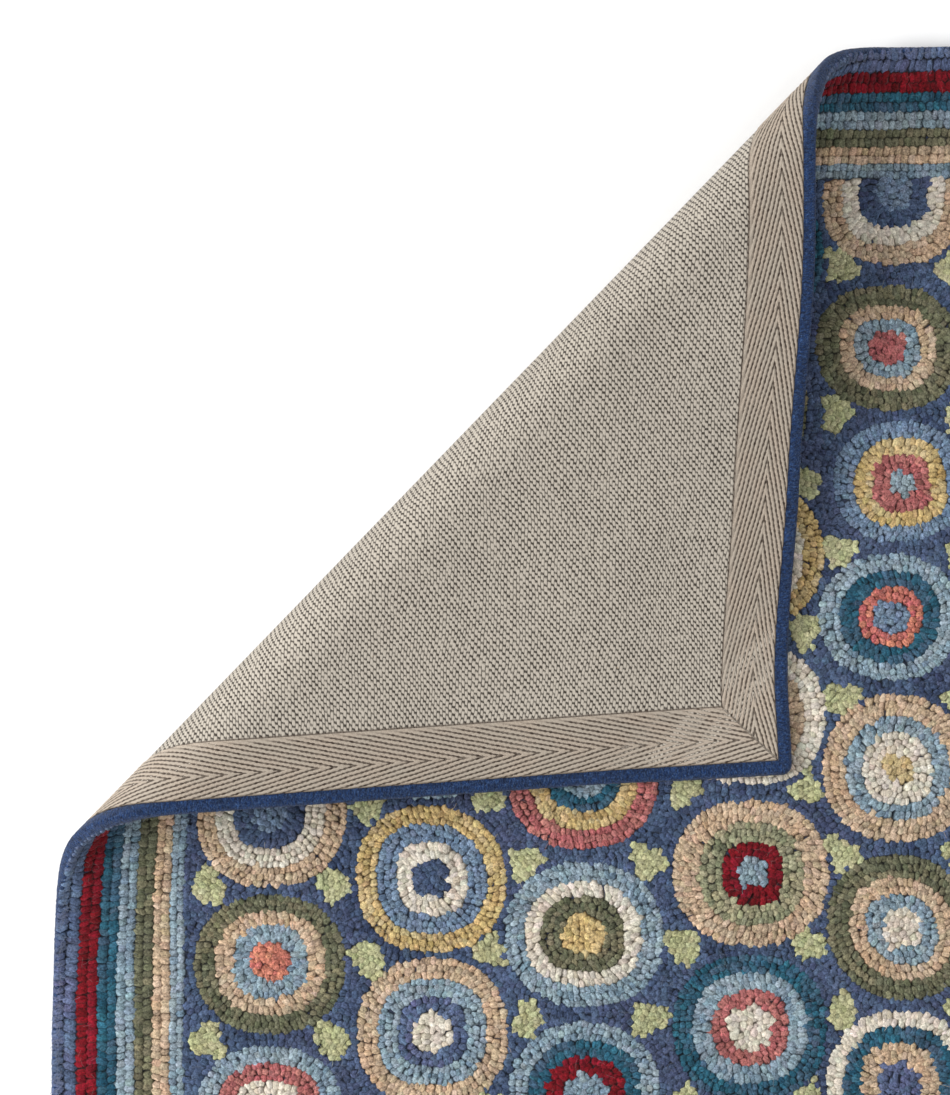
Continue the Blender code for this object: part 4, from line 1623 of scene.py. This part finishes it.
# %% The sizes of the whipped edge
YARN_SECTION = (
    # (inset, height)
    (0.0073, 0.0006),
    (0.0066, 0.0001),
    (0.0050, 0.0000),
    (0.0018, 0.0000),
    (0.0007, 0.0006),
    (0.0000, 0.0022),
    (-0.0002, 0.0045),
    (0.0004, 0.0066),
    (0.0016, 0.0073),
    (0.0030, 0.0066),
    (0.0073, 0.0040),
)
YARN_STEP = 0.0012
WRAP_LENGTH = 0.0026
WRAP_SLANT = 0.35           # of a wrap, from one point of the section to the next
WRAP_HEIGHT = 0.00012
YARN_JITTER = 0.00007
RIM_CORNER = 0.0050
TURN_MM = 1.25              # the turns drawn in the material are this far apart


# %% The line round the rim
def rim_line(step):
    """Middle places and outward directions round the rim with rounded corners, and the way along it."""
    half = HALF_RUG - RIM_CORNER
    sides, turns = 2 * half, RIM_CORNER * pi / 2
    perimeter = 2 * sides.sum() + 4 * turns
    count = round(perimeter / step)
    along = np.arange(count) * perimeter / count
    places, outwards = np.empty((count, 2)), np.empty((count, 2))
    begin = 0.0
    for quarter, (corner, way, outward) in enumerate(zip(CORNERS, WAYS, OUTWARDS)):
        middle = half * corner
        here = (along >= begin) & (along < begin + turns)
        angle = quarter * pi / 2 + (along[here] - begin) / RIM_CORNER
        outwards[here] = compass(angle)
        places[here] = middle + outwards[here] * RIM_CORNER
        begin += turns
        straight = sides[quarter % 2]
        here = (along >= begin) & (along < begin + straight)
        outwards[here] = outward
        places[here] = middle + outward * RIM_CORNER + way * (along[here] - begin)[:, None]
        begin += straight
    return places, outwards, along


# %% Yarn material
def yarn_look():
    """Felted blue yarn: its turns run round the rim at a slant, under a haze of paler fibres."""
    look = Look("wrapped yarn", roughness=0.95, sheen=0.15)
    along, round_it, _ = look.parts(look.stored("threads", "Vector"))
    felt = look.noise(look.vector(along * 1.00, round_it * 0.34), 1.0, detail=4.0, roughness=0.75)
    felt = look.spread(felt, 0.36, 0.64)
    curls = look.noise(look.vector(along * 0.55, round_it * 0.55, 11.0), 1.0, detail=2.0) - 0.5
    curls = look.spread(curls.absolute(), 0.0, 0.03, 1.0, 0.0)
    turns = ((along + 0.55 * round_it + 1.3 * felt) * (2 * pi / TURN_MM)).sine() * 0.5 + 0.5
    fibre = look.noise(look.vector(along * 2.2, round_it * 0.9, 6.0), 1.0, detail=2.0)
    fibre = look.spread(fibre, 0.35, 0.68)
    cloud = look.noise(look.vector(along * 0.06, round_it * 0.1, 2.0), 1.0, detail=2.0)
    # the dips between the turns are painted shade; felt and cloud are the yarn's own uneven tone
    shade = (0.70 + 0.30 * turns) * (0.36 + 1.05 * felt) * (0.68 + 0.6 * cloud)
    paler = 0.22 * fibre + 0.55 * curls
    colour = look.mix(paler, (0.003, 0.022, 0.092), (0.080, 0.145, 0.285))
    return look.finish(look.tint(colour, shade), look.raised(0.6 * turns + 0.8 * felt, 0.0004))


# %% Make the whipped edge
places, outwards, along = rim_line(YARN_STEP)
section = np.array(YARN_SECTION)
count, around = len(places), len(section)
points = np.empty((count, around, 3))
round_length = np.concatenate(((0.0,), np.cumsum(np.linalg.norm(np.diff(section, axis=0), axis=1)))) / MM
middle = section.mean(axis=0)
for k, (inset, height) in enumerate(section):
    outward = np.array((inset, height)) - middle
    outward /= np.linalg.norm(outward)
    wrap = np.cos(2 * pi * (along / WRAP_LENGTH + WRAP_SLANT * k)) * 0.5 - 0.5
    swell = WRAP_HEIGHT * wrap + YARN_JITTER * chance.standard_normal(count)
    points[:, k, :2] = places - outwards * (inset + outward[0] * swell)[:, None]
    points[:, k, 2] = np.maximum(height + outward[1] * swell, 0.0)
corner_grid = np.arange(count * around).reshape(count, around)
following = np.roll(corner_grid, -1, axis=0)
quads = np.stack((corner_grid, np.roll(corner_grid, -1, axis=1),
                  np.roll(following, -1, axis=1), following), axis=2).reshape(-1, 4)
info = np.stack((np.broadcast_to(along[:, None] / MM, (count, around)),
                 np.broadcast_to(round_length, (count, around)), np.zeros((count, around))), axis=2)
BAKE_ROWS = 8
share = along / along.max() * BAKE_ROWS
bake_u = np.stack((share, np.roll(share, -1)), axis=1)
bake_u[-1, 1] = BAKE_ROWS
row = np.minimum(np.floor(share), BAKE_ROWS - 1)
bake_corner = np.empty((count, around, 4, 2))
for corner, (ahead, up) in enumerate(((0, 0), (0, 1), (1, 1), (1, 0))):
    bake_corner[:, :, corner, 0] = np.clip(bake_u[:, ahead] - row, 0, 1)[:, None]
    bake_corner[:, :, corner, 1] = (row[:, None] + (np.arange(around) + up) / around) / BAKE_ROWS
whipping = make_piece("whipped_edge", laid(points.reshape(-1, 3)), quads, yarn_look(),
                      {"threads": info}, bake_corner.reshape(-1, 2))
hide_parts("edge_whipping")

# %% [markdown]
# ## The triangles in all
# The triangles of all the pieces are added up and printed.

# %% Finish
print("triangles in all:", sum(TRIANGLES.values()))
